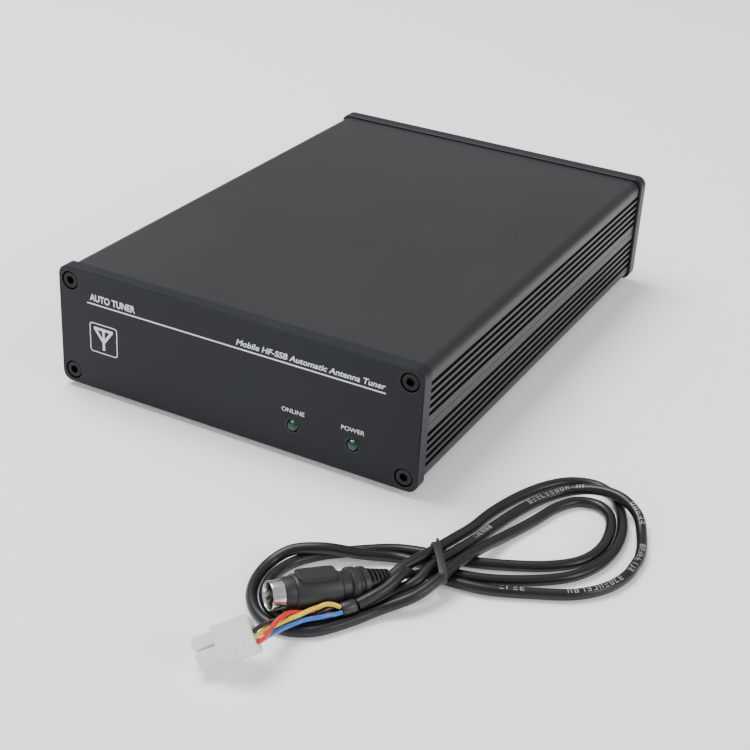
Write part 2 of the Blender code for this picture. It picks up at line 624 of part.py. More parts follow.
def board_parts(mats):
    """Relays, coils, coupler, capacitor, controller and regulator standing on the board."""
    def on_board(name, size, x, y, mat, bevel=0.0004):
        block(name, size, (x, y, BOARD_TOP + GAP + size[2] / 2), mat, bevel)

    for k in range(5):
        on_board(f"relay_{k + 1}", (0.0104, 0.0205, 0.0115), -0.058 + 0.029 * k, RELAY_Y,
                 mats["relay"], 0.0006)
    for k, (x, major) in enumerate(((-0.050, 0.0105), (-0.012, 0.0085), (0.026, 0.0068))):
        wound_ring(f"tuning_coil_{k + 1}", x, COIL_Y, major, 0.0035, mats["ferrite"])
    wound_ring("coupler_coil", -SOCKET_X - 0.002, COUPLER_Y, 0.006, 0.0028, mats["ferrite"])
    on_board("controller", (0.0145, 0.0185, 0.0024), 0.0, CONTROLLER_Y, mats["chip"], 0.0002)
    on_board("voltage_regulator", (0.0102, 0.0046, 0.0152), 0.056, REGULATOR_Y, mats["chip"], 0.0003)
    capacitor = turned("filter_capacitor", [(0.005, 0), (0.005, 0.0118), (0.0044, 0.0124)],
                       mats["can"], 20)
    place(capacitor, (0.056, CAPACITOR_Y, BOARD_TOP + GAP))


# ---------------------------------------------------------------- the loose cable
def plug_frame(distance):
    """A point on the round plug's axis, a distance behind its tip."""
    return PLUG_TIP + PLUG_AXIS * distance


def section_ring(centre, direction, radius, segments=20):
    """A circle of points across a direction."""
    side = Vector((direction.y, -direction.x, 0)).normalized()
    above = side.cross(direction.normalized())
    angles = [2 * math.pi * (k + 0.5) / segments for k in range(segments)]
    return [centre + radius * (math.cos(a) * side + math.sin(a) * above) for a in angles]


def round_plug(mats):
    """The cable's round plug: metal shell, pin block, moulded body and flexible boot."""
    turn = (0, math.radians(90) + PLUG_DROP, PLUG_TURN)
    rows = [(0.0043, 0.0053), (0.0077, 0.0055), (0.0078, PLUG_R), (0.0232, PLUG_R),
            (0.0233, 0.0052), (0.0264, 0.0052), (0.0265, 0.0057), (0.0285, 0.0057)]
    rings = [section_ring(plug_frame(d), PLUG_AXIS, r) for d, r in rows]
    start = plug_frame(0.0286)
    ahead = (Vector(CORD_ROUTE[1]) - Vector(CORD_ROUTE[0])).normalized()
    boot = (0.0054, 0.0049, 0.0043, 0.0037, 0.0031)
    for k, radius in enumerate(boot):
        t = k / (len(boot) - 1)
        bow = start.lerp(BOOT_END, t) + PLUG_AXIS * 0.002 * t * (1 - t)
        rings.append(section_ring(bow, PLUG_AXIS.lerp(ahead, t), radius))
    body = solid("plug_body", *loft(rings), mats["cable"], 40)
    pad = block("plug_pad", (0.0135, 0.0062, 0.003), (0, 0, 0), None, 0.0003)
    above = PLUG_AXIS.cross(Vector((math.sin(PLUG_TURN), -math.cos(PLUG_TURN), 0))) * -1
    place(pad, plug_frame(0.0152) + above * 0.0055, (0, PLUG_DROP, PLUG_TURN))
    weld(body, pad)
    well = turned("plug_well", [(SHELL_R + GAP, -0.001), (SHELL_R + GAP, 0.0092)], None)
    cut(body, place(well, PLUG_TIP, turn))
    inner = SHELL_R - SHELL_WALL
    rows = [(SHELL_R, 0), (SHELL_R, 0.0089), (inner, 0.0089), (inner, 0)]
    place(turned("plug_shell", rows, mats["nickel"], closed=True), PLUG_TIP, turn)
    core = turned("plug_pins", [(inner - GAP, 0.0052), (inner - GAP, 0.0089)], mats["chip"])
    place(core, PLUG_TIP, turn)
    frame = Euler(turn).to_matrix()
    for angle in (30, 150, 210, 330):
        pin = turned(f"pin_{angle}", [(0.0004, 0.0014), (0.0005, 0.0018), (0.0005, 0.006)], None, 8)
        across = Vector((math.cos(math.radians(angle)), math.sin(math.radians(angle)), 0))
        weld(core, place(pin, PLUG_TIP + frame @ (across * 0.0025), turn))


def hank_tie(mat):
    """A flat band round the crossing, standing across the hank's long direction."""
    outline = rounded_rectangle(TIE_HALF_WIDE, TIE_HIGH / 2, 0.0032, 4)
    inner = rounded_rectangle(TIE_HALF_WIDE - TIE_THICK, TIE_HIGH / 2 - TIE_THICK,
                              0.0032 - TIE_THICK, 4)
    rings = [[(x, y, TIE_HIGH / 2 + z) for x, z in loop]
             for loop, y in ((outline, -TIE_BAND / 2), (outline, TIE_BAND / 2),
                             (inner, TIE_BAND / 2), (inner, -TIE_BAND / 2))]
    tie = solid("hank_tie", *loft(rings, closed=True), mat, 30)
    place(tie, (*TIE_PLACE, 0.0), (0, 0, TIE_TURN + math.radians(90)))


def jacket_end(mat):
    """The short sleeve where the jacket ends and the single wires come out."""
    start, end = (Vector(p) for p in SLEEVE_ENDS)
    heading = (end - start).normalized()
    rows = [(0.0, 0.0019), (0.0005, 0.0022), ((end - start).length, 0.0022)]
    rings = [section_ring(start + heading * d, heading, r, 16) for d, r in rows]
    solid("wire_sleeve", *loft(rings), mat, 40)


def connector_housing(mat):
    """The white four-way housing: a box with two square towers in front of it."""
    long = HOUSING_SIZE[0]
    nose_long, nose_wide, nose_high = NOSE_SIZE
    tower = nose_wide / 2 - 0.0004
    body = block("connector_housing", HOUSING_SIZE, (0, 0, 0), mat, 0.0003)
    front = -long / 2 - nose_long
    for side in (-1, 1):
        across = side * (nose_wide - tower) / 2
        weld(body, block(f"tower_{side}", (nose_long + 0.001, tower, nose_high),
                         (front + (nose_long + 0.001) / 2, across, 0), None, 0.0004))
    weld(body, block("tower_web", (nose_long - 0.001, 0.002, nose_high - 0.0024),
                     (-(long + nose_long) / 2 + 0.001, 0, 0), None))
    for side in (-1, 1):
        for level in (-1, 1):
            spot = (front, side * (nose_wide - tower) / 2, level * nose_high / 4)
            cut(body, block(f"pit_{side}_{level}", (0.005, 0.0018, 0.0018), spot, None))
    turn = Euler(HOUSING_TURN).to_matrix().to_4x4()
    for thing in [body] + [step.object for step in body.modifiers]:
        thing.matrix_world = Matrix.Translation(HOUSING_PLACE) @ turn


def cable(mats):
    tube("interface_cable", smooth_points(CORD_ROUTE, CORD_SAMPLES), CORD_D, 2, mats["cable"])
    for name, route in WIRE_ROUTES.items():
        tube(name, smooth_points(route, WIRE_SAMPLES), WIRE_D, 2, mats[name])
    round_plug(mats)
    hank_tie(mats["tie"])
    jacket_end(mats["cable"])
    connector_housing(mats["white"])


def main():
    for thing in list(bpy.data.objects):
        bpy.data.objects.remove(thing)
    mats = {
        "case": material("black_anodised_case", (0.052, 0.052, 0.058), 0.42, 0.4),
        "panel": material("black_anodised_panel", (0.022, 0.024, 0.027), 0.45, 0.4),
        "screw": material("black_steel", (0.02, 0.02, 0.02), 0.35, 0.8),
        "steel": material("bright_steel", (0.6, 0.6, 0.6), 0.3, 1.0),
        "rubber": material("black_rubber", (0.02, 0.02, 0.02), 0.8),
        "led": material("green_lens", (0.02, 0.16, 0.07), 0.15),
        "nickel": material("nickel_plate", (0.72, 0.71, 0.68), 0.25, 1.0),
        "brass": material("brass", (0.78, 0.57, 0.22), 0.3, 1.0),
        "ptfe": material("white_insulator", (0.85, 0.84, 0.8), 0.5),
        "chip": material("black_moulding", (0.03, 0.03, 0.03), 0.5),
        "copper": material("copper", (0.85, 0.45, 0.28), 0.3, 1.0),
        "board": material("green_board", (0.03, 0.2, 0.09), 0.45),
        "relay": material("relay_cover", (0.05, 0.09, 0.22), 0.4),
        "ferrite": material("wound_core", (0.5, 0.1, 0.05), 0.45),
        "can": material("capacitor_can", (0.55, 0.56, 0.6), 0.3, 0.8),
        "cable": material("cable_jacket", (0.025, 0.026, 0.028), 0.5),
        "tie": material("tie_band", (0.03, 0.03, 0.03), 0.55),
        "white": material("white_nylon", (0.86, 0.86, 0.84), 0.4),
        "wire_black": material("black_wire", (0.02, 0.022, 0.02), 0.45),
        "wire_yellow": material("yellow_wire", (0.85, 0.6, 0.08), 0.45),
        "wire_red": material("red_wire", (0.7, 0.03, 0.03), 0.45),
        "wire_blue": material("blue_wire", (0.04, 0.2, 0.6), 0.45),
    }
    half_shell("top_shell", 1, mats["case"])
    half_shell("bottom_shell", -1, mats["case"])
    front = panel("front_panel", FRONT_Y, 1, mats["panel"])
    for name, x in LED_X.items():
        through(front, f"{name}_hole", LED_R + GAP, x, FOOT_DROP + LED_Z, FRONT_Y)
    rear = panel("rear_panel", BACK_Y, -1, mats["panel"])
    rear_holes(rear)
    cap_screws("front", FRONT_Y, FACING_FRONT, -1, mats["screw"])
    cap_screws("rear", BACK_Y, FACING_BACK, 1, mats["screw"])
    feet(mats["rubber"])
    leds(mats["led"])
    coax_socket("radio", -SOCKET_X, mats)
    coax_socket("antenna", SOCKET_X, mats)
    interface_jack(mats["chip"])
    ground_terminal(mats)
    board(mats["board"])
    feeds(mats)
    board_parts(mats)
    cable(mats)


main()
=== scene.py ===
"""An automatic antenna tuner in a finned black case, with its tied-up interface cable.

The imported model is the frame. This script paints every part of it, replaces the soft and the
moulded pieces of the cable with finer ones, and prints the front panel. Metres, +Z up, front to -Y.
"""
import math

import bmesh
import bpy
import numpy as np
from mathutils import Matrix, Vector


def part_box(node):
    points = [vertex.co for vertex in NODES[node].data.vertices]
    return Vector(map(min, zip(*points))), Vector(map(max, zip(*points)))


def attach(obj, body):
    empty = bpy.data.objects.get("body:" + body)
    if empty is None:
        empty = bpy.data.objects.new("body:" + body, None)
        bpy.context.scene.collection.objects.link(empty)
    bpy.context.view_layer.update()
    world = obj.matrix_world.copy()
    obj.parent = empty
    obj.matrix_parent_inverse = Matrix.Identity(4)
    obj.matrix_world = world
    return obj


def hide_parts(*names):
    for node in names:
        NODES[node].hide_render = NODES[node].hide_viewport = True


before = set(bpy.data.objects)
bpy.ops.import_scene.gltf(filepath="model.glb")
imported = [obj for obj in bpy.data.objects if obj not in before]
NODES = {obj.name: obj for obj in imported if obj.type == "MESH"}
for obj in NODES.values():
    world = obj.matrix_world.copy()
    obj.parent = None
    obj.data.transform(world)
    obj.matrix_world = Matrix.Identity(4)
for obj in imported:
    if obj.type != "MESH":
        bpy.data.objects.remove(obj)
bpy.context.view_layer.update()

FRONT_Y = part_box("front_panel")[0].y
PANEL_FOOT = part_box("front_panel")[0].z

# ---------------------------------------------------------------- camera
TURN, RISE, TILT = math.radians(26.628), math.radians(28.229), math.radians(3.457)
CAMERA_PLACE = (0.26123, -0.52268, 0.28714)
LENS_LONG, SENSOR_WIDE = 71.979, 36   # millimetres
back = np.array([math.sin(TURN) * math.cos(RISE), -math.cos(TURN) * math.cos(RISE), math.sin(RISE)])
level = np.cross(-back, [0.0, 0.0, 1.0])
level /= np.linalg.norm(level)
over = np.cross(level, -back)
across = math.cos(TILT) * level + math.sin(TILT) * over
upward = -math.sin(TILT) * level + math.cos(TILT) * over
camera = bpy.data.objects.new("camera", bpy.data.cameras.new("camera"))
camera.data.lens = LENS_LONG
camera.data.sensor_width = SENSOR_WIDE
camera.data.clip_start, camera.data.clip_end = 0.01, 20
camera.matrix_world = Matrix([*zip(across, upward, back, CAMERA_PLACE), (0, 0, 0, 1)])
bpy.context.scene.collection.objects.link(camera)
bpy.context.scene.camera = camera


# ---------------------------------------------------------------- shader maths
class Maths:
    """A shader value or vector that adds, subtracts, multiplies and so on as a number does."""

    def __init__(self, paint, socket):
        self.paint, self.socket = paint, socket

    def _with(self, operation, other=None, third=None):
        return self.paint.maths(operation, self, other, third)

    def __add__(self, other):
        return self._with("ADD", other)

    def __radd__(self, other):
        return self._with("ADD", other)

    def __sub__(self, other):
        return self._with("SUBTRACT", other)

    def __rsub__(self, other):
        return self.paint.maths("SUBTRACT", other, self)

    def __mul__(self, other):
        return self._with("MULTIPLY", other)

    def __rmul__(self, other):
        return self._with("MULTIPLY", other)

    def __truediv__(self, other):
        return self._with("DIVIDE", other)

    def __mod__(self, other):
        return self._with("FLOORED_MODULO", other)

    def __lt__(self, other):
        return self._with("LESS_THAN", other)

    def __gt__(self, other):
        return self._with("GREATER_THAN", other)

    def size(self):
        return self._with("ABSOLUTE")

    def sine(self):
        return self._with("SINE")

    def clip(self):
        """Held between nought and one."""
        return self._with("MINIMUM", 1.0)._with("MAXIMUM", 0.0)

    def step(self, low, high):
        """A smooth rise from 0 at low to 1 at high: t * t * (3 - 2 t)."""
        t = ((self - low) / (high - low)).clip()
        return t * t * (3.0 - 2.0 * t)


class Paint:
    """One Principled material and the nodes that feed it."""

    def __init__(self, name, roughness=0.5, metallic=0.0, **fixed):
        self.material = bpy.data.materials.new(name)
        self.material.use_nodes = True
        self.tree = self.material.node_tree
        self.shader = self.tree.nodes["Principled BSDF"]
        self.places = {}
        self.shader.inputs["Roughness"].default_value = roughness
        self.shader.inputs["Metallic"].default_value = metallic
        for label, number in fixed.items():
            self.shader.inputs[label.replace("_", " ")].default_value = number

    def node(self, kind, fields=None, **inputs):
        """A node of a kind, its fields set and its inputs linked or given a constant."""
        made = self.tree.nodes.new(kind)
        for label, setting in (fields or {}).items():
            setattr(made, label, setting)
        for label, given in inputs.items():
            self.feed(made.inputs[label.replace("_", " ")], given)
        return made

    def feed(self, socket, given):
        if isinstance(given, Maths):
            self.tree.links.new(given.socket, socket)
        elif isinstance(given, bpy.types.NodeSocket):
            self.tree.links.new(given, socket)
        else:
            socket.default_value = given

    def maths(self, operation, *values):
        made = self.node("ShaderNodeMath", {"operation": operation})
        for socket, given in zip(made.inputs, values):
            if given is not None:
                self.feed(socket, given)
        return Maths(self, made.outputs[0])

    def place(self, kind="Object"):
        """The x, y and z of a point on the piece, in metres, or its UV."""
        if kind not in self.places:
            found = self.node("ShaderNodeTexCoord").outputs[kind]
            split = self.node("ShaderNodeSeparateXYZ", Vector=found)
            self.places[kind] = tuple(Maths(self, out) for out in split.outputs)
        return self.places[kind]

    def point(self, x, y, z):
        return self.node("ShaderNodeCombineXYZ", X=x, Y=y, Z=z).outputs[0]

    def noise(self, scale, detail=3.0, stretch=(1.0, 1.0, 1.0), kind="Object"):
        """Noise with so many lumps to a metre, drawn out along the axes by their stretch."""
        x, y, z = self.place(kind)
        spot = self.point(x * stretch[0], y * stretch[1], z * stretch[2])
        made = self.node("ShaderNodeTexNoise", Vector=spot, Scale=scale, Detail=detail)
        return Maths(self, made.outputs["Fac"])

    def specks(self, scale):
        """Distance to the nearest of scattered points, so many to a metre."""
        made = self.node("ShaderNodeTexVoronoi", Vector=self.point(*self.place()), Scale=scale)
        return Maths(self, made.outputs["Distance"])

    def mix(self, share, first, second):
        """A colour between two colours."""
        made = self.node("ShaderNodeMix", {"data_type": "RGBA"})
        for label, given in (("Factor", share), ("A", first), ("B", second)):
            socket = next(s for s in made.inputs if s.name == label and s.enabled)
            if not isinstance(given, (Maths, bpy.types.NodeSocket)) and label != "Factor":
                given = (*given, 1.0)[:4]
            self.feed(socket, given)
        return next(s for s in made.outputs if s.enabled)

    def worn_edge(self, radius):
        """1 along outer edges, 0 on flats: how far the rounded normal leans off the true one."""
        soft = self.node("ShaderNodeBevel", {"samples": 6}, Radius=radius).outputs[0]
        true = self.node("ShaderNodeNewGeometry").outputs["Normal"]
        dot = self.node("ShaderNodeVectorMath", {"operation": "DOT_PRODUCT"})
        self.feed(dot.inputs[0], soft)
        self.feed(dot.inputs[1], true)
        return (1.0 - Maths(self, dot.outputs["Value"])).step(0.03, 0.3)

    def colour(self, given):
        self.feed(self.shader.inputs["Base Color"],
                  given if not isinstance(given, tuple) else (*given, 1.0)[:4])

    def rough(self, given):
        self.feed(self.shader.inputs["Roughness"], given)

    def bump(self, height, depth):
        made = self.node("ShaderNodeBump", Height=height, Distance=depth)
        self.feed(self.shader.inputs["Normal"], made.outputs["Normal"])


GLOSS_SPREAD = 0.12   # how far a finish's roughness wanders


def grain(name, colour, light, roughness, metallic=0.0, lumps=900.0, depth=0.00002):
    """A finish of one material: broad shade drift, fine grain in its gloss and its relief."""
    paint = Paint(name, roughness, metallic)
    drift = paint.noise(22.0, 3.0)
    fine = paint.noise(lumps, 3.0)
    paint.colour(paint.mix((drift * 0.6 + fine * 0.4).step(0.3, 0.7), colour, light))
    paint.rough(roughness - GLOSS_SPREAD / 2 + fine * GLOSS_SPREAD
                + (drift - 0.5) * GLOSS_SPREAD)
    paint.bump(fine, depth)
    return paint


BLAST_DEPTH = 0.000012
BARE_METAL, DUST = (0.16, 0.165, 0.175), (0.5, 0.5, 0.5)


def anodised(name, colour, light, roughness, metallic, gloss):
    """Satin black anodising over bead-blasted aluminium: fine grit, faint drift, paler edges."""
    paint = Paint(name, roughness, metallic, Specular_IOR_Level=gloss)
    drift = paint.noise(14.0, 3.0)
    cloud = paint.noise(60.0, 4.0)
    grit = paint.noise(5200.0, 2.0)
    fleck = paint.specks(1500.0)
    dust = (0.06 - paint.specks(160.0)).step(0.0, 0.03) * (cloud > 0.62) * 0.16
    tone = paint.mix((drift * 0.55 + grit * 0.45).step(0.3, 0.72), colour, light)
    edge = paint.worn_edge(0.0005)
    bare = paint.mix(edge * (0.35 + 0.4 * cloud), tone, BARE_METAL)
    paint.colour(paint.mix(dust, bare, DUST))
    paint.rough(roughness + (drift - 0.5) * 0.10 + (grit - 0.5) * 0.12 - edge * 0.06)
    paint.bump(grit * 0.7 + fleck * 0.3, BLAST_DEPTH)
    return paint


PRINT_FROM, PRINT_TO = 0.700, 0.872   # metres along the cord, where its marks face upwards


def jacket():
    """Soft black vinyl with faint lengthwise drawing marks and a line of pale printed marks.

    The marks are bars of a cell, each there or not by chance, so they spell nothing.
    """
    paint = Paint("black_jacket", 0.42, 0.0, Specular_IOR_Level=0.42)
    turn, along, _ = paint.place("UV")
    drift = paint.noise(30.0, 2.0)
    fine = paint.noise(2600.0, 2.0)
    drawn = paint.noise(1.0, 2.0, (46.0, 60.0, 1.0), kind="UV")
    base = paint.mix((drift * 0.5 + drawn * 0.5).step(0.3, 0.7), (0.0040, 0.0046, 0.0060),
                     (0.0100, 0.0110, 0.0135))
    row = (turn - 0.02 * (along * 40.0).sine() - 0.165) / 0.17
    lap = (along > PRINT_FROM) * (along < PRINT_TO)
    word = paint.node("ShaderNodeTexNoise", {"noise_dimensions": "1D"}, W=along, Scale=46.0,
                      Detail=0.0)
    words = Maths(paint, word.outputs["Fac"]) > 0.5
    cell = along * 460.0
    spot, place = cell % 1.0, paint.maths("FLOOR", cell)
    strokes = 0.0
    for number, (low, high, left, right) in enumerate((
            (0.0, 1.0, 0.12, 0.28), (0.0, 1.0, 0.60, 0.76), (0.0, 0.14, 0.12, 0.76),
            (0.43, 0.57, 0.12, 0.76), (0.86, 1.0, 0.12, 0.76))):
        pick = paint.node("ShaderNodeTexWhiteNoise", {"noise_dimensions": "1D"},
                          W=place + 0.37 * (number + 1))
        here = (row > low) * (row < high) * (spot > left) * (spot < right)
        strokes = paint.maths("MAXIMUM", here * (Maths(paint, pick.outputs["Value"]) > 0.42),
                              strokes)
    ink = strokes * words * lap * 0.5
    paint.colour(paint.mix(ink, base, (0.55, 0.56, 0.57)))
    paint.rough(0.40 + (drift - 0.5) * 0.16 + (drawn - 0.5) * 0.14 + (fine - 0.5) * 0.08)
    paint.bump(fine * 0.4 + drawn * 0.6, 0.00003)
    return paint


def lens_green():
    """A dark green tinted epoxy dome, with painted shade towards its rim and a painted lighter
    heart, set by the angle it is seen at.
    """
    paint = Paint("green_lens", 0.12, 0.0, Coat_Weight=0.3, Coat_Roughness=0.05, IOR=1.45)
    rim_shade = Maths(paint, paint.node("ShaderNodeLayerWeight", Blend=0.35).outputs["Facing"])
    swirl = paint.noise(700.0, 2.0)
    # Painted shade: darker green where the dome is seen edge-on, lighter where it faces the eye.
    paint.colour(paint.mix((rim_shade + 0.3 * swirl).step(0.0, 0.85), (0.003, 0.060, 0.030),
                           (0.0008, 0.008, 0.005)))
    paint.rough(0.10 + 0.08 * swirl)
    paint.bump(swirl, 0.000004)
    return paint


TOOL_LINES = 5200.0   # to a metre


def turned_metal(name, colour, light, roughness):
    """Plated or turned metal: fine tool lines across its y axis and a little tarnish."""
    paint = Paint(name, roughness, 1.0)
    rings = paint.noise(1.0, 2.0, (TOOL_LINES * 0.02, TOOL_LINES, TOOL_LINES * 0.02))
    patch = paint.noise(260.0, 4.0)
    paint.colour(paint.mix(patch.step(0.35, 0.75), light, colour))
    paint.rough(roughness + (rings - 0.5) * 0.14 + (patch - 0.5) * 0.16)
    paint.bump(rings, 0.000006)
    return paint


def white_resin():
    """Natural nylon: milky, with moulding mottle."""
    paint = Paint("white_resin", 0.34, 0.0, Subsurface_Weight=0.12, Subsurface_Scale=0.0015)
    paint.shader.inputs["Subsurface Radius"].default_value = (1.0, 0.9, 0.75)
    mottle = paint.noise(420.0, 4.0)
    fine = paint.noise(4200.0, 2.0)
    paint.colour(paint.mix(mottle.step(0.3, 0.75), (0.80, 0.80, 0.78), (0.88, 0.88, 0.865)))
    paint.rough(0.30 + 0.12 * mottle + (fine - 0.5) * 0.06)
    paint.bump(fine * 0.4 + mottle * 0.6, 0.000025)
    return paint


def wire_skin(name, colour, light):
    """Thin glossy insulation with faint drawing lines along it."""
    paint = Paint(name, 0.3, 0.0, Coat_Weight=0.2, Coat_Roughness=0.2)
    drawn = paint.noise(1.0, 2.0, (30.0, 300.0, 1.0), kind="UV")
    fine = paint.noise(3000.0, 2.0)
    paint.colour(paint.mix((drawn * 0.6 + fine * 0.4).step(0.3, 0.7), colour, light))
    paint.rough(0.28 + (drawn - 0.5) * 0.14 + (fine - 0.5) * 0.10)
    paint.bump(drawn, 0.00002)
    return paint


def board_green():
    """Solder mask with copper tracks showing as paler, raised lines."""
    paint = Paint("board_mask", 0.32, 0.0)
    x, y, _ = paint.place()
    wander = paint.noise(90.0, 1.0)
    track = (((x * 260.0 + wander * 3.0) % 1.0) - 0.5).size()
    cross = (((y * 180.0 + wander * 2.0) % 1.0) - 0.5).size()
    lines = (0.12 - track).step(0.0, 0.04) * (wander > 0.5)
    lines = paint.maths("MAXIMUM", lines, (0.10 - cross).step(0.0, 0.04) * (wander < 0.44))
    paint.colour(paint.mix(lines, (0.010, 0.10, 0.045), (0.03, 0.22, 0.10)))
    paint.rough(0.28 + 0.10 * wander)
    paint.bump(lines, 0.00003)
    return paint


def wound_core():
    """Red-brown iron powder ring under close turns of enamelled copper wire."""
    paint = Paint("wound_core", 0.35, 0.3)
    x, y, _ = paint.place()
    swirl = paint.noise(300.0, 2.0)
    turns = (((x + y) * 900.0 + swirl * 0.8) % 1.0 - 0.5).size()
    wire = turns.step(0.10, 0.28)
    paint.colour(paint.mix(wire, (0.62, 0.22, 0.08), (0.22, 0.04, 0.02)))
    paint.rough(0.28 + 0.2 * wire)
    paint.bump(1.0 - wire, 0.0002)
    return paint


def relay_box():
    """A moulded relay cover with fine grain and handling marks."""
    paint = Paint("relay_cover", 0.35, 0.0)
    fine = paint.noise(2400.0, 2.0)
    scuff = paint.noise(140.0, 4.0, (1.0, 0.2, 1.0))
    paint.colour(paint.mix(scuff.step(0.35, 0.7), (0.035, 0.07, 0.19), (0.06, 0.10, 0.25)))
    paint.rough(0.30 + 0.16 * scuff + (fine - 0.5) * 0.08)
    paint.bump(fine, 0.00002)
    return paint


CASE = anodised("anodised_case", (0.021, 0.0205, 0.0235), (0.032, 0.031, 0.036), 0.42,
                0.5, 0.5)
PANEL = anodised("anodised_panel", (0.0090, 0.0112, 0.0142), (0.0140, 0.0170, 0.0210), 0.42,
                 0.05, 0.2)
OXIDE = grain("black_oxide", (0.008, 0.008, 0.009), (0.020, 0.020, 0.022), 0.34, 0.7, 1800.0,
              0.00002)
STEEL = turned_metal("bright_steel", (0.42, 0.42, 0.43), (0.62, 0.62, 0.61), 0.28)
NICKEL = turned_metal("nickel_plate", (0.58, 0.565, 0.53), (0.76, 0.75, 0.72), 0.20)
BRASS = turned_metal("brass", (0.55, 0.38, 0.15), (0.80, 0.60, 0.26), 0.26)
COPPER = turned_metal("copper", (0.62, 0.28, 0.16), (0.86, 0.46, 0.30), 0.28)
RUBBER = grain("black_rubber", (0.010, 0.010, 0.011), (0.024, 0.024, 0.025), 0.72, 0.0, 1500.0,
               0.00006)
LENS = lens_green()
PTFE = grain("white_insulator", (0.74, 0.73, 0.69), (0.86, 0.85, 0.82), 0.45, 0.0, 2200.0)
MOULDING = grain("black_moulding", (0.012, 0.012, 0.013), (0.028, 0.028, 0.030), 0.46, 0.0,
                 2600.0, 0.00003)
BOARD = board_green()
RELAY = relay_box()
CORE = wound_core()
CAN = turned_metal("capacitor_can", (0.34, 0.36, 0.42), (0.52, 0.54, 0.60), 0.3)
JACKET = jacket()
SLEEVE = grain("black_sleeve", (0.016, 0.016, 0.018), (0.034, 0.035, 0.038), 0.40, 0.0, 2400.0,
               0.00003)
OVERMOULD = grain("plug_vinyl", (0.010, 0.0105, 0.0125), (0.020, 0.021, 0.024), 0.46, 0.0, 2800.0,
                  0.000045)
BAND = grain("tie_band", (0.010, 0.010, 0.011), (0.024, 0.024, 0.026), 0.5, 0.0, 1600.0, 0.00004)
RESIN = white_resin()
INK = grain("white_ink", (0.74, 0.75, 0.76), (0.86, 0.87, 0.88), 0.42, 0.0, 4200.0, 0.000015)
# The near-black finish of the rings that paint the shadow in the lamps' panel holes.
SHADOW_RING = grain("lamp_shadow_ring", (0.004, 0.004, 0.0045), (0.010, 0.010, 0.011), 0.5, 0.0, 3000.0)
WIRE_SKINS = {
    "wire_black": wire_skin("black_wire", (0.008, 0.009, 0.008), (0.018, 0.020, 0.018)),
    "wire_yellow": wire_skin("yellow_wire", (0.72, 0.44, 0.02), (0.90, 0.62, 0.05)),
    "wire_red": wire_skin("red_wire", (0.52, 0.012, 0.012), (0.74, 0.035, 0.030)),
    "wire_blue": wire_skin("blue_wire", (0.012, 0.11, 0.42), (0.03, 0.20, 0.62)),
}

# ---------------------------------------------------------------- painting the frame
FINISHES = {
    "top_shell": CASE, "bottom_shell": CASE, "front_panel": PANEL, "rear_panel": PANEL,
    "online_led": LENS, "power_led": LENS, "circuit_board": BOARD, "coupler_coil": CORE,
    "controller": MOULDING, "voltage_regulator": MOULDING, "filter_capacitor": CAN,
    "interface_jack": MOULDING, "ground_stud": BRASS, "ground_lock_nut": BRASS,
    "ground_washer": STEEL, "ground_wing_nut": BRASS, "plug_shell": NICKEL,
    "plug_pins": MOULDING, "plug_body": OVERMOULD, "interface_cable": JACKET,
    "hank_tie": BAND, "wire_sleeve": SLEEVE, "connector_housing": RESIN,
}
ENDINGS = (("_socket", NICKEL), ("_insulator", PTFE), ("_contact", BRASS), ("_feed", COPPER),
           ("foot_", RUBBER), ("relay_", RELAY), ("tuning_coil", CORE), ("_flange_screw", STEEL),
           ("_screw_", OXIDE))


def finish_of(node):
    if node in FINISHES:
        return FINISHES[node]
    if node in WIRE_SKINS:
        return WIRE_SKINS[node]
    return next(paint for part, paint in ENDINGS if part in node)


for node, thing in NODES.items():
    thing.data.materials.clear()
    thing.data.materials.append(finish_of(node).material)


# ---------------------------------------------------------------- surfaces worked out on a grid
def grid_piece(name, points, paint, uv=None, caps=(True, True), smooth=40):
    """A skin over a grid of points, rows by columns, each row a closed ring; flat end caps.

    Face (i, k) joins points (i, k), (i, k+1), (i+1, k+1) and (i+1, k). uv holds one pair more
    in each row than there are columns, so the seam keeps its own value.
    """
    rows, columns = points.shape[:2]
    i, k = np.meshgrid(np.arange(rows - 1), np.arange(columns), indexing="ij")
    n = (k + 1) % columns
    quads = np.stack([i * columns + k, i * columns + n, (i + 1) * columns + n,
                      (i + 1) * columns + k], axis=-1).reshape(-1, 4)
    faces = quads.tolist()
    if caps[0]:
        faces.append(list(range(columns))[::-1])
    if caps[1]:
        faces.append(list(range((rows - 1) * columns, rows * columns)))
    mesh = bpy.data.meshes.new(name)
    mesh.from_pydata(points.reshape(-1, 3).tolist(), [], faces)
    if uv is not None:
        layer = mesh.uv_layers.new(name="skin")
        corners = np.stack([uv[i, k], uv[i, k + 1], uv[i + 1, k + 1], uv[i + 1, k]],
                           axis=2).reshape(-1, 2)
        spare = len(mesh.loops) - len(corners)
        flat = np.vstack([corners, np.zeros((spare, 2))]).astype(np.float32)
        layer.data.foreach_set("uv", flat.ravel())
    bm = bmesh.new()
    bm.from_mesh(mesh)
    bmesh.ops.recalc_face_normals(bm, faces=bm.faces)
    bm.to_mesh(mesh)
    bm.free()
    mesh.shade_smooth()
    mesh.set_sharp_from_angle(angle=math.radians(smooth))
    mesh.materials.append(paint.material)
    piece = bpy.data.objects.new(name, mesh)
    bpy.context.scene.collection.objects.link(piece)
    return piece


def headings(path):
    """Unit tangents of a path of points, by central differences."""
    steps = np.gradient(path, axis=0)
    return steps / np.linalg.norm(steps, axis=1)[:, None]


def level_frames(path):
    """Sideways and upward unit vectors along a path: up is +Z less its share of the tangent."""
    tangent = headings(path)
    up = np.array([0.0, 0.0, 1.0]) - tangent * tangent[:, 2:3]
    up /= np.linalg.norm(up, axis=1)[:, None]
    return np.cross(tangent, up), up


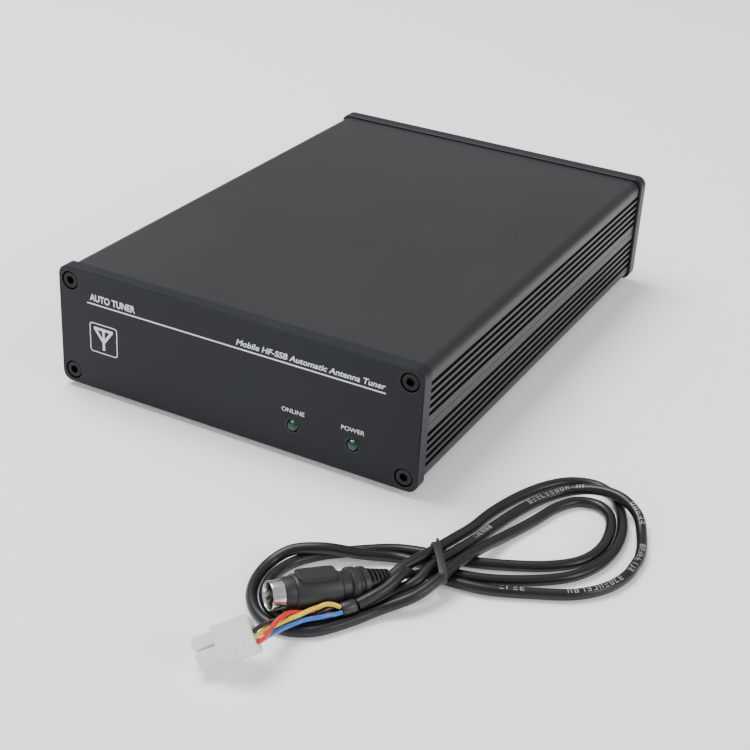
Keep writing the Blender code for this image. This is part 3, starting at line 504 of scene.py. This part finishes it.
def swept(name, path, radius, paint, sides, smooth=60):
    """A round skin along a path: p + r (cos a * side + sin a * up), r one, by row or by point."""
    side, up = level_frames(path)
    angle = np.linspace(0, 2 * np.pi, sides, endpoint=False)
    radius = np.broadcast_to(radius, (len(path), sides))
    ring = (np.cos(angle)[None, :, None] * side[:, None] + np.sin(angle)[None, :, None]
            * up[:, None])
    points = path[:, None] + radius[..., None] * ring
    run = np.concatenate([[0.0], np.cumsum(np.linalg.norm(np.diff(path, axis=0), axis=1))])
    turn = np.linspace(0, 1, sides + 1)
    uv = np.stack(np.broadcast_arrays(turn[None, :], run[:, None]), axis=-1)
    return grid_piece(name, points, paint, uv, smooth=smooth)


def smooth_path(route, spacing):
    """Even points on a centripetal Catmull-Rom curve through a route given in millimetres."""
    points = np.array(route, float) / 1000
    points = np.vstack([2 * points[0] - points[1], points, 2 * points[-1] - points[-2]])
    dense = []
    for i in range(1, len(points) - 2):
        p = points[i - 1:i + 3]
        gaps = np.linalg.norm(np.diff(p, axis=0), axis=1) ** 0.5
        knots = np.concatenate([[0.0], np.cumsum(gaps)])
        t = np.linspace(knots[1], knots[2], 24, endpoint=False)[:, None]
        a = [((knots[k + 1] - t) * p[k] + (t - knots[k]) * p[k + 1]) / gaps[k] for k in range(3)]
        b = [((knots[k + 2] - t) * a[k] + (t - knots[k]) * a[k + 1]) / (knots[k + 2] - knots[k])
             for k in range(2)]
        dense.append(((knots[2] - t) * b[0] + (t - knots[1]) * b[1]) / gaps[1])
    dense = np.vstack(dense + [points[-2:-1]])
    run = np.concatenate([[0.0], np.cumsum(np.linalg.norm(np.diff(dense, axis=0), axis=1))])
    even = np.linspace(0, run[-1], int(run[-1] / spacing) + 2)
    return np.stack([np.interp(even, run, dense[:, k]) for k in range(3)], axis=1), run[-1]


# ---------------------------------------------------------------- the cable
CORD_D = 0.0038
WIRE_D = 0.0015
CORD_REACH = 0.1598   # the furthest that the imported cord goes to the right
# From the plug's boot through the tied figure of eight to the jacket's end, in millimetres.
# Three turns pass round the right loop and two round the left one; z is the cord's middle.
CORD_ROUTE = [
    (94.6, -171.2, 5.9), (96.3, -165.2, 7.1), (100.0, -154.7, 7.4), (102.1, -141.7, 5.9),
    (103.3, -127.3, 3.1), (104.4, -114.1, 2.0), (108.0, -100.6, 2.0), (113.7, -87.9, 2.0),
    (120.5, -80.0, 2.0), (128.6, -77.1, 2.0), (136.1, -79.7, 2.0), (142.3, -87.9, 2.0),
    (147.1, -99.5, 2.0), (148.9, -112.6, 2.0), (147.1, -124.3, 2.0), (142.0, -134.1, 2.0),
    (133.3, -142.1, 2.0), (120.8, -149.9, 2.2), (110.7, -154.1, 2.8), (98.9, -154.4, 2.7),
    (88.8, -155.5, 2.2), (79.4, -161.3, 3.3), (68.6, -168.4, 5.8), (59.9, -174.0, 5.0),
    (56.1, -180.6, 2.8), (56.7, -190.7, 2.0), (61.2, -200.0, 2.0), (68.6, -206.1, 2.0),
    (77.2, -207.3, 2.0), (85.0, -203.4, 2.0), (91.9, -193.8, 2.0), (97.6, -184.3, 2.8),
    (105.7, -174.3, 5.4), (108.6, -165.6, 7.0), (110.0, -152.5, 6.9), (112.0, -138.9, 4.8),
    (114.5, -125.3, 2.4), (118.8, -111.3, 2.0), (122.8, -97.9, 2.0), (127.7, -90.7, 2.0),
    (134.4, -89.1, 2.0), (140.1, -93.2, 2.0), (143.8, -102.8, 2.0), (144.6, -114.6, 2.0),
    (141.5, -124.4, 2.0), (133.9, -132.4, 2.0), (122.5, -139.2, 2.0), (109.2, -145.4, 2.3),
    (97.8, -148.3, 2.6), (87.2, -151.5, 2.3), (76.3, -159.0, 2.0), (66.2, -168.7, 2.0),
    (61.2, -177.7, 2.0), (60.5, -187.9, 2.0), (64.1, -196.8, 2.0), (71.0, -202.1, 2.0),
    (77.6, -201.9, 2.0), (85.8, -194.5, 2.0), (92.6, -185.6, 2.0), (97.7, -176.5, 4.1),
    (103.0, -168.9, 6.3), (103.7, -161.3, 7.2), (106.5, -147.7, 6.6), (107.7, -134.0, 3.8),
    (109.2, -120.2, 2.2), (112.5, -105.9, 2.0), (117.2, -93.5, 2.0), (123.4, -86.5, 3.0),
    (131.7, -84.7, 5.2), (141.1, -86.3, 6.3), (149.1, -90.7, 4.5), (154.0, -99.1, 2.2),
    (157.7, -111.8, 2.0), (157.6, -123.6, 2.0), (153.9, -134.1, 2.0), (146.7, -142.5, 2.0),
    (135.2, -149.1, 2.0), (121.3, -155.7, 2.2), (110.2, -158.2, 2.6), (102.4, -159.5, 3.2),
    (100.0, -164.6, 4.5), (99.0, -170.4, 8.9), (97.2, -179.9, 7.8), (92.5, -188.8, 5.7),
]
WIRE_ROUTES = {
    "wire_black": [
        (88.0, -193.2, 5.5), (86.7, -195.4, 6.2), (85.7, -197.5, 6.2), (84.2, -199.7, 5.3),
        (82.6, -201.4, 4.7), (80.5, -203.0, 4.9), (78.9, -204.9, 5.5), (77.9, -206.8, 6.2),
        (77.2, -209.2, 7.1), (76.9, -211.3, 7.9), (76.7, -213.8, 8.9), (76.7, -216.3, 10.0),
        (76.9, -218.5, 11.0), (77.4, -220.9, 12.2), (77.7, -223.0, 13.1), (78.2, -225.6, 14.0),
    ],
    "wire_yellow": [
        (89.2, -193.8, 6.6), (87.5, -195.3, 7.8), (85.8, -196.7, 8.1), (84.2, -198.6, 7.6),
        (83.0, -200.5, 7.5), (81.9, -202.9, 7.4), (80.9, -205.3, 7.3), (80.0, -207.3, 7.4),
        (79.1, -209.8, 7.6), (78.7, -211.9, 8.0), (78.4, -214.5, 8.6), (78.3, -217.0, 9.3),
        (78.3, -219.2, 10.0), (78.5, -221.6, 10.9), (78.9, -223.7, 11.8), (79.3, -226.2, 12.8),
    ],
    "wire_red": [
        (89.3, -193.6, 4.0), (87.2, -195.3, 4.3), (85.2, -196.6, 4.7), (83.1, -198.2, 5.1),
        (81.9, -200.0, 5.7), (80.5, -202.2, 6.5), (79.3, -204.4, 7.4), (78.7, -206.4, 8.3),
        (78.5, -209.0, 9.1), (78.6, -211.2, 9.7), (78.8, -213.9, 10.2), (79.3, -216.5, 10.7),
        (79.8, -218.8, 11.0), (80.3, -221.5, 11.2), (80.6, -223.8, 11.3), (80.2, -226.5, 11.3),
    ],
    "wire_blue": [
        (90.3, -194.3, 5.4), (88.9, -196.3, 5.3), (87.7, -197.9, 5.5), (86.3, -199.9, 5.6),
        (85.0, -201.5, 5.7), (83.4, -203.2, 5.7), (82.0, -205.2, 5.7), (81.2, -207.0, 5.8),
        (80.5, -209.3, 6.1), (79.9, -211.3, 6.4), (79.5, -213.6, 6.8), (79.3, -216.0, 7.4),
        (79.2, -218.0, 7.9), (79.3, -220.3, 8.7), (79.4, -222.3, 9.3), (79.5, -224.6, 10.0),
    ],
}

cord_path, cord_long = smooth_path(CORD_ROUTE, 0.0012)
cord_path[:, 2] = np.maximum(cord_path[:, 2], CORD_D / 2)   # it lies on the floor, never under it
cord_path[:, 0] = np.minimum(cord_path[:, 0], CORD_REACH - CORD_D / 2)
cord = swept("interface_lead", cord_path, CORD_D / 2, JACKET, 24)
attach(cord, "cable")
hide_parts("interface_cable")

for node, route in WIRE_ROUTES.items():
    path, run = smooth_path(route, 0.0004)
    wire = swept(f"{node}_skin", path, WIRE_D / 2, WIRE_SKINS[node], 16)
    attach(wire, "cable")
    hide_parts(node)

# ---------------------------------------------------------------- the round plug
PLUG_TIP = Vector((0.0701, -0.2050, 0.0102))
PLUG_TURN = math.radians(53.1)
PLUG_DROP = math.radians(7.3)
PLUG_AXIS = Vector((math.cos(PLUG_TURN) * math.cos(PLUG_DROP),
                    math.sin(PLUG_TURN) * math.cos(PLUG_DROP), -math.sin(PLUG_DROP)))
PLUG_ASIDE = Vector((math.sin(PLUG_TURN), -math.cos(PLUG_TURN), 0))
PLUG_ABOVE = -PLUG_AXIS.cross(PLUG_ASIDE)
BOOT_END = np.array([0.09436, -0.17193, 0.00585])
BOOT_START = 0.0286   # from the plug's tip, along its axis
SHELL_R = 0.00465


def on_axis(distance):
    return np.array(PLUG_TIP + PLUG_AXIS * distance)


BOOT_LONG = float(np.linalg.norm(BOOT_END - on_axis(BOOT_START)))
SLOTS = 6


def boot_line(distance):
    """The boot's curved middle line, from the plug's axis to its end, bowed forwards."""
    start = on_axis(BOOT_START)
    t = np.clip((distance - BOOT_START) / BOOT_LONG, 0, 1.05)[:, None]
    return start + (BOOT_END - start) * t + np.array(PLUG_AXIS) * 0.002 * t * (1 - t)


def plug_moulding():
    """Collar, barrel, neck and two base rings, turned about the plug's axis.

    r(s) is straight between stations; those 0.1 to 0.4 mm apart round a corner.
    """
    stations = [(0.0042, 0.0049), (0.0043, 0.0052), (0.0047, 0.0053), (0.0074, 0.0055),
                (0.0076, 0.0055), (0.0077, 0.0058), (0.0081, 0.0060), (0.0228, 0.0060),
                (0.0232, 0.0057), (0.0234, 0.0053), (0.0237, 0.0052), (0.0262, 0.0052),
                (0.0264, 0.0054), (0.0266, 0.0060), (0.0269, 0.0062), (0.0288, 0.0062),
                (0.0291, 0.0060), (0.0293, 0.0054), (0.0296, 0.0052), (0.0303, 0.0052),
                (0.0305, 0.0055), (0.0307, 0.0058), (0.0322, 0.0057), (0.0324, 0.0054),
                (0.0326, 0.0048)]
    places = np.array([s for s, _ in stations])
    path = np.array([on_axis(s) for s in places])
    past = places > BOOT_START
    path[past] = boot_line(places[past])
    return swept("plug_moulding", path, np.array([[r] for _, r in stations]), OVERMOULD, 40, 35)


def plug_boot():
    """A tapering boot slotted in four rows: r = taper - deep * cut(s) * cut(angle).

    cut(s) is a smooth square wave with SLOTS periods, half a period on in every second row;
    cut(angle) is 1 near a row's own angle and 0 from 37 degrees away, on the spines.
    """
    run = np.linspace(0.0318, BOOT_START + BOOT_LONG, 150)
    path = boot_line(run)
    side, up = level_frames(path)
    sides = 56
    angle = np.linspace(0, 2 * np.pi, sides, endpoint=False)
    share = (run - run[0]) / (run[-1] - run[0])
    taper = 0.0053 - 0.0021 * share ** 0.8
    cuts = []
    for row, phase in ((math.radians(76), 0.0), (math.radians(256), 0.5),
                       (math.radians(166), 0.0), (math.radians(346), 0.5)):
        wave = np.clip((np.cos(2 * np.pi * (share * SLOTS + phase)) - 0.05) * 5, 0, 1)
        lean = np.angle(np.exp(1j * (angle - row)))
        patch = np.clip((math.radians(37) - np.abs(lean)) / math.radians(5), 0, 1)
        cuts.append(wave[:, None] * patch[None, :])
    deep = np.maximum.reduce(cuts) * ((share > 0.03) & (share < 0.93))[:, None]
    radius = taper[:, None] - deep * np.minimum(0.0019, taper - 0.0022)[:, None]
    return swept("plug_boot", path, radius, OVERMOULD, sides, 32)


PAD_VINYL = grain("pad_vinyl", (0.006, 0.006, 0.007), (0.014, 0.014, 0.016), 0.62, 0.0, 1500.0,
                  0.00012)


def thumb_pad():
    """The raised flat pad on the barrel: a superellipse outline, drawn up with a rounded rim.

    Outline: |x / a| ** 7 + |y / b| ** 7 = 1. Rows climb from inside the barrel to the rim, round
    it over a quarter circle, and close in to a slightly dished middle.
    """
    half_long, half_wide, top, rim = 0.00675, 0.0030, 0.0070, 0.0004
    angle = np.linspace(0, 2 * np.pi, 72, endpoint=False)
    power = 2 / 7
    shape = np.stack([np.sign(np.cos(angle)) * np.abs(np.cos(angle)) ** power,
                      np.sign(np.sin(angle)) * np.abs(np.sin(angle)) ** power], axis=1)
    rows = [(0.0, 0.004), (0.0, top - rim)]
    rows += [(rim * (1 - math.cos(a)), top - rim + rim * math.sin(a))
             for a in np.radians([25, 50, 75, 90])]
    rows += [(0.0014, top - 0.00005), (0.0028, top - 0.00008)]
    middle = on_axis(0.0152)
    points = np.array([
        middle + shape[:, :1] * max(half_long - inset, 0) * np.array(PLUG_AXIS)
        + shape[:, 1:] * max(half_wide - inset, 0.0003) * np.array(PLUG_ASIDE)
        + height * np.array(PLUG_ABOVE) for inset, height in rows])
    return grid_piece("plug_thumb_pad", points, PAD_VINYL, smooth=45)


def plug_ferrule():
    """The thin rolled metal shell: outer wall, rounded lip, inner wall down to the pin block."""
    wall, deep = 0.0004, 0.0052
    stations = [(0.0090, SHELL_R), (0.0004, SHELL_R), (0.0001, SHELL_R - 0.0001),
                (0.0, SHELL_R - wall / 2), (0.0001, SHELL_R - wall + 0.0001),
                (0.0004, SHELL_R - wall), (deep, SHELL_R - wall)]
    side, up = np.array(PLUG_ASIDE), np.array(PLUG_ABOVE)
    angle = np.linspace(0, 2 * np.pi, 48, endpoint=False)
    points = np.array([on_axis(s) + r * (np.cos(angle)[:, None] * side
                                         + np.sin(angle)[:, None] * up) for s, r in stations])
    return grid_piece("plug_ferrule", points, NICKEL, caps=(False, False), smooth=50)


plug_parts = [plug_moulding(), plug_boot(), thumb_pad()]
for piece in plug_parts:
    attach(piece, "cable")
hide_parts("plug_body")
ferrule = plug_ferrule()
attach(ferrule, "cable")
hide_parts("plug_shell")


# ---------------------------------------------------------------- the sleeve, tie and connector
def cut_sleeve():
    """The jacket's cut end: r(s) with a rounded shoulder and a flat, slightly dished face."""
    start, end = (np.array(p) for p in ((0.09217, -0.18933, 0.00566), (0.0894, -0.1934, 0.0054)))
    stations = [(0.0, 0.0017), (0.03, 0.0020), (0.10, 0.0022), (0.92, 0.0022), (0.98, 0.0021),
                (1.0, 0.0019), (0.985, 0.0014)]
    path = np.array([start + (end - start) * min(s, 1.0) for s, _ in stations])
    path[-1] -= (end - start) * 0.015
    heading = (end - start) / np.linalg.norm(end - start)
    side = np.cross(heading, [0, 0, 1.0])
    side /= np.linalg.norm(side)
    up = np.cross(side, heading)
    angle = np.linspace(0, 2 * np.pi, 32, endpoint=False)
    points = np.array([p + r * (np.cos(angle)[:, None] * side + np.sin(angle)[:, None] * up)
                       for p, (_, r) in zip(path, stations)])
    return grid_piece("jacket_end_sleeve", points, SLEEVE, smooth=50)


sleeve = cut_sleeve()
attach(sleeve, "cable")
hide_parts("wire_sleeve")

TIE_PLACE = np.array([0.1040, -0.1556, 0.0])
TIE_BAND, TIE_THICK = 0.0026, 0.0005


def band_loop():
    """A flat band drawn tight round the strands that cross its plane.

    Its line is the hull of the strands' circles: with h(a) the furthest reach of any circle in
    direction a, the hull's point is h * outward + h' * along. The section is a thin strip with
    chamfered edges, TIE_THICK by TIE_BAND.
    """
    normal = np.array([math.cos(math.radians(34)), math.sin(math.radians(34))])
    aside = np.array([-normal[1], normal[0]])
    flat = cord_path[:, :2] - TIE_PLACE[:2]
    depth, width = flat @ normal, flat @ aside
    near = (depth[:-1] * depth[1:] <= 0) & (np.abs(width[:-1]) < 0.02)
    share = (depth[:-1] / (depth[:-1] - depth[1:] + 1e-15))[near]
    u = width[:-1][near] * (1 - share) + width[1:][near] * share
    z = cord_path[:-1, 2][near] * (1 - share) + cord_path[1:, 2][near] * share
    a = np.linspace(0, 2 * np.pi, 220, endpoint=False)
    reach = (u[:, None] * np.cos(a) + z[:, None] * np.sin(a)).max(axis=0) + CORD_D / 2 + 0.0001
    for _ in range(10):
        reach = (np.roll(reach, 1) + 2 * reach + np.roll(reach, -1)) / 4
    rise = (np.roll(reach, -1) - np.roll(reach, 1)) / (2 * (a[1] - a[0]))
    strip = [(TIE_THICK, -0.9), (TIE_THICK, 0.9), (TIE_THICK * 0.85, 1.0), (TIE_THICK * 0.15, 1.0),
             (0.0, 0.9), (0.0, -0.9), (TIE_THICK * 0.15, -1.0), (TIE_THICK * 0.85, -1.0),
             (TIE_THICK, -0.9)]
    rows = []
    for out, along in strip:
        h = reach + out
        across = h * np.cos(a) - rise * np.sin(a)
        height = np.maximum(h * np.sin(a) + rise * np.cos(a), 0.00003 + TIE_THICK - out)
        spread = across[:, None] * aside + (along * TIE_BAND / 2) * normal + TIE_PLACE[:2]
        rows.append(np.column_stack([spread, height]))
    return grid_piece("band_tie", np.array(rows), BAND, caps=(False, False), smooth=50)


def band_tail():
    """The band's end, a short stub standing off its far upper corner."""
    t = np.linspace(0, 1, 12)
    top = np.array([v.co[:] for v in tie.data.vertices])
    corner = top[np.argmax(top @ np.array([-0.45, 0.75, 0.7]))]
    path = corner + np.outer(t, [-0.0012, 0.0018, 0.0012]) - np.array([-0.0002, 0.0006, 0.0006])
    path[:, 2] += 0.0006 * np.sin(np.pi * t)
    return swept("band_tail", path, 0.0006 * (1 - 0.25 * t[:, None] ** 3), BAND, 10)


def merge(piece):
    """Joins points that coincide and turns the faces outwards."""
    bm = bmesh.new()
    bm.from_mesh(piece.data)
    bmesh.ops.remove_doubles(bm, verts=bm.verts, dist=1e-7)
    bmesh.ops.recalc_face_normals(bm, faces=bm.faces)
    bm.to_mesh(piece.data)
    bm.free()
    return piece


tie = merge(band_loop())
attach(tie, "cable")
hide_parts("hank_tie")
tail = band_tail()
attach(tail, "cable")


# ---------------------------------------------------------------- print on the front panel
PRINT_THICK = 0.00004
FILM_STEP = 0.000004
LAMP_HEIGHT = 0.012   # the lamps' middles, above the panel's foot


def mesh_of(drawn):
    """The mesh of a flat curve or a text, and its points."""
    source = bpy.data.objects.new("drawn", drawn)
    bpy.context.scene.collection.objects.link(source)
    bpy.context.view_layer.update()
    mesh = bpy.data.meshes.new_from_object(source.evaluated_get(
        bpy.context.evaluated_depsgraph_get()))
    bpy.data.objects.remove(source)
    co = np.zeros(len(mesh.vertices) * 3)
    mesh.vertices.foreach_get("co", co)
    return mesh, co.reshape(-1, 3)


def stuck_on(name, mesh):
    """A printed film's mesh as a piece on the case."""
    mesh.materials.clear()
    mesh.materials.append(INK.material)
    piece = bpy.data.objects.new(name, mesh)
    bpy.context.scene.collection.objects.link(piece)
    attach(piece, "case")
    return piece


def flat_outline(name, outlines):
    """A thin printed film from closed outlines in panel x and z; an inner outline is a hole."""
    curve = bpy.data.curves.new(name, "CURVE")
    curve.dimensions = "2D"
    curve.fill_mode = "BOTH"
    curve.extrude = PRINT_THICK / 2
    for outline in outlines:
        spline = curve.splines.new("POLY")
        spline.points.add(len(outline) - 1)
        flat = np.zeros((len(outline), 4))
        flat[:, :2] = outline
        flat[:, 3] = 1
        spline.points.foreach_set("co", flat.ravel())
        spline.use_cyclic_u = True
    mesh, co = mesh_of(curve)
    stood = np.stack([co[:, 0], FRONT_Y - PRINT_THICK / 2 - co[:, 2], PANEL_FOOT + co[:, 1]],
                     axis=1)
    mesh.vertices.foreach_set("co", stood.ravel())
    mesh.update()
    return stuck_on(name, mesh)


def lettering(name, words, left, foot, wide, high, shear, weight):
    """A line of print fitted to a width and a capital height, in panel x and z."""
    text = bpy.data.curves.new(name, "FONT")
    text.size = 1.0
    text.shear = shear
    text.offset = weight
    text.body = "H"
    capital = mesh_of(text)[1][:, 1].max()
    text.body = words
    mesh, co = mesh_of(text)
    low, top = co.min(0), co.max(0)
    flat = np.stack([left + (co[:, 0] - low[0]) * wide / (top[0] - low[0]),
                     np.full(len(co), FRONT_Y - PRINT_THICK),
                     PANEL_FOOT + foot + co[:, 1] * high / capital], axis=1)
    mesh.vertices.foreach_set("co", flat.ravel())
    bm = bmesh.new()
    bm.from_mesh(mesh)
    bmesh.ops.remove_doubles(bm, verts=bm.verts, dist=1e-8)
    bmesh.ops.dissolve_degenerate(bm, edges=bm.edges, dist=1e-8)
    for face in bm.faces:
        face.normal_update()
        if face.normal.y > 0:
            face.normal_flip()
    bm.to_mesh(mesh)
    bm.free()
    stuck_on(name, mesh)


def rounded_box(left, foot, right, top, corner, steps=8):
    """The corners' quarter circles, joined by straight sides."""
    spots = ((right - corner, top - corner, 0), (left + corner, top - corner, 90),
             (left + corner, foot + corner, 180), (right - corner, foot + corner, 270))
    rows = []
    for x, z, start in spots:
        a = np.radians(np.linspace(start, start + 90, steps))
        rows.append(np.stack([x + corner * np.cos(a), z + corner * np.sin(a)], axis=1))
    return np.vstack(rows)


flat_outline("panel_rule", [rounded_box(-0.0643, 0.03622, 0.0632, 0.03678, 0.00025, 4)])
lettering("panel_title", "AUTO TUNER", -0.0629, 0.0379, 0.0208, 0.0027, 0.0, 0.03)
lettering("panel_legend", "Mobile HF-SSB Automatic Antenna Tuner", 0.0022, 0.0379, 0.0609,
          0.0023, 0.22, 0.02)
lettering("online_legend", "ONLINE", 0.0219, 0.0171, 0.0095, 0.0017, 0.0, 0.006)
lettering("power_legend", "POWER", 0.0465, 0.0172, 0.0094, 0.0017, 0.0, 0.006)
flat_outline("symbol_frame", [
    rounded_box(-0.0635, 0.0164, -0.0507, 0.0288, 0.0013),
    rounded_box(-0.0631, 0.0168, -0.0511, 0.0284, 0.0010)])


def stroke(start, end, wide):
    """A straight stroke's four corners."""
    start, end = np.array(start), np.array(end)
    ahead = (end - start) / np.linalg.norm(end - start)
    aside = np.array([-ahead[1], ahead[0]]) * wide / 2
    return np.array([start - aside, end - aside, end + aside, start + aside])


def antenna_symbol():
    """The circuit diagram's antenna: an open triangle on its point, with a mast through it.

    Each stroke stands FILM_STEP proud of the last, so that no two lie in one plane.
    """
    x, foot, branch, head, half = -0.0571, 0.0180, 0.0213, 0.0272, 0.0040
    wide = 0.0011
    strokes = [stroke((x, foot), (x, head), wide),
               stroke((x, branch), (x - half, head - wide / 2), wide),
               stroke((x, branch), (x + half, head - wide / 2), wide),
               stroke((x - half - 0.0004, head - wide / 2), (x + half + 0.0004, head - wide / 2),
                      wide)]
    for number, outline in enumerate(strokes):
        piece = flat_outline(f"symbol_stroke_{number}", [outline])
        piece.data.transform(Matrix.Translation((0, -FILM_STEP * number, 0)))


antenna_symbol()


def lamp_shadow_ring(name, node):
    """A painted shadow in the panel hole round a lamp: a dark flat washer with a rounded rim."""
    low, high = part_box(node)
    middle = np.array([(low.x + high.x) / 2, FRONT_Y, PANEL_FOOT + LAMP_HEIGHT])
    stations = [(0.0024, 0.0010), (0.00252, -0.0001), (0.0026, -0.00018), (0.00295, -0.00018),
                (0.0031, -0.00010), (0.00312, 0.00002)]
    angle = np.linspace(0, 2 * np.pi, 40, endpoint=False)
    ring = np.stack([np.cos(angle), np.zeros(40), np.sin(angle)], axis=1)
    points = np.array([middle + r * ring + [0, y, 0] for r, y in stations])
    piece = grid_piece(name, points, SHADOW_RING, caps=(False, False), smooth=50)
    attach(piece, "case")


# Painted shadow in the hole round each lamp.
lamp_shadow_ring("online_lamp_shadow_ring", "online_led")
lamp_shadow_ring("power_lamp_shadow_ring", "power_led")


# ---------------------------------------------------------------- floor, light and sky
def studio():
    """A wide pale floor, a big soft key above, two smaller lights, an even pale surround."""
    half = 6.0
    mesh = bpy.data.meshes.new("floor")
    mesh.from_pydata([(-half, -half, 0), (half, -half, 0), (half, half, 0), (-half, half, 0)],
                     [], [(0, 1, 2, 3)])
    floor = bpy.data.objects.new("floor", mesh)
    bpy.context.scene.collection.objects.link(floor)
    paint = Paint("pale_floor", 0.7, 0.0, Specular_IOR_Level=0.2, Emission_Strength=0.25)
    paint.shader.inputs["Emission Color"].default_value = (1, 1, 1, 1)
    paint.colour((0.93, 0.93, 0.93))
    mesh.materials.append(paint.material)
    world = bpy.data.worlds.new("surround")
    bpy.context.scene.world = world
    world.use_nodes = True
    world.node_tree.nodes["Background"].inputs["Color"].default_value = (1, 1, 1, 1)
    world.node_tree.nodes["Background"].inputs["Strength"].default_value = 0.55
    for name, energy, size, spot, aim in (
            ("key", 34.0, 0.9, (-0.6, 0.0, 1.5), (0.02, -0.05, 0.0)),
            ("front", 1.5, 0.8, (-0.3, -1.6, 0.7), (0.0, -0.1, 0.02)),
            ("side", 9.0, 0.5, (1.5, -0.1, 0.75), (0.08, -0.05, 0.03))):
        light = bpy.data.lights.new(name, "AREA")
        light.energy, light.size = energy, size
        lamp = bpy.data.objects.new(name, light)
        lamp.location = spot
        lamp.rotation_euler = (Vector(aim) - Vector(spot)).to_track_quat("-Z", "Y").to_euler()
        bpy.context.scene.collection.objects.link(lamp)


studio()
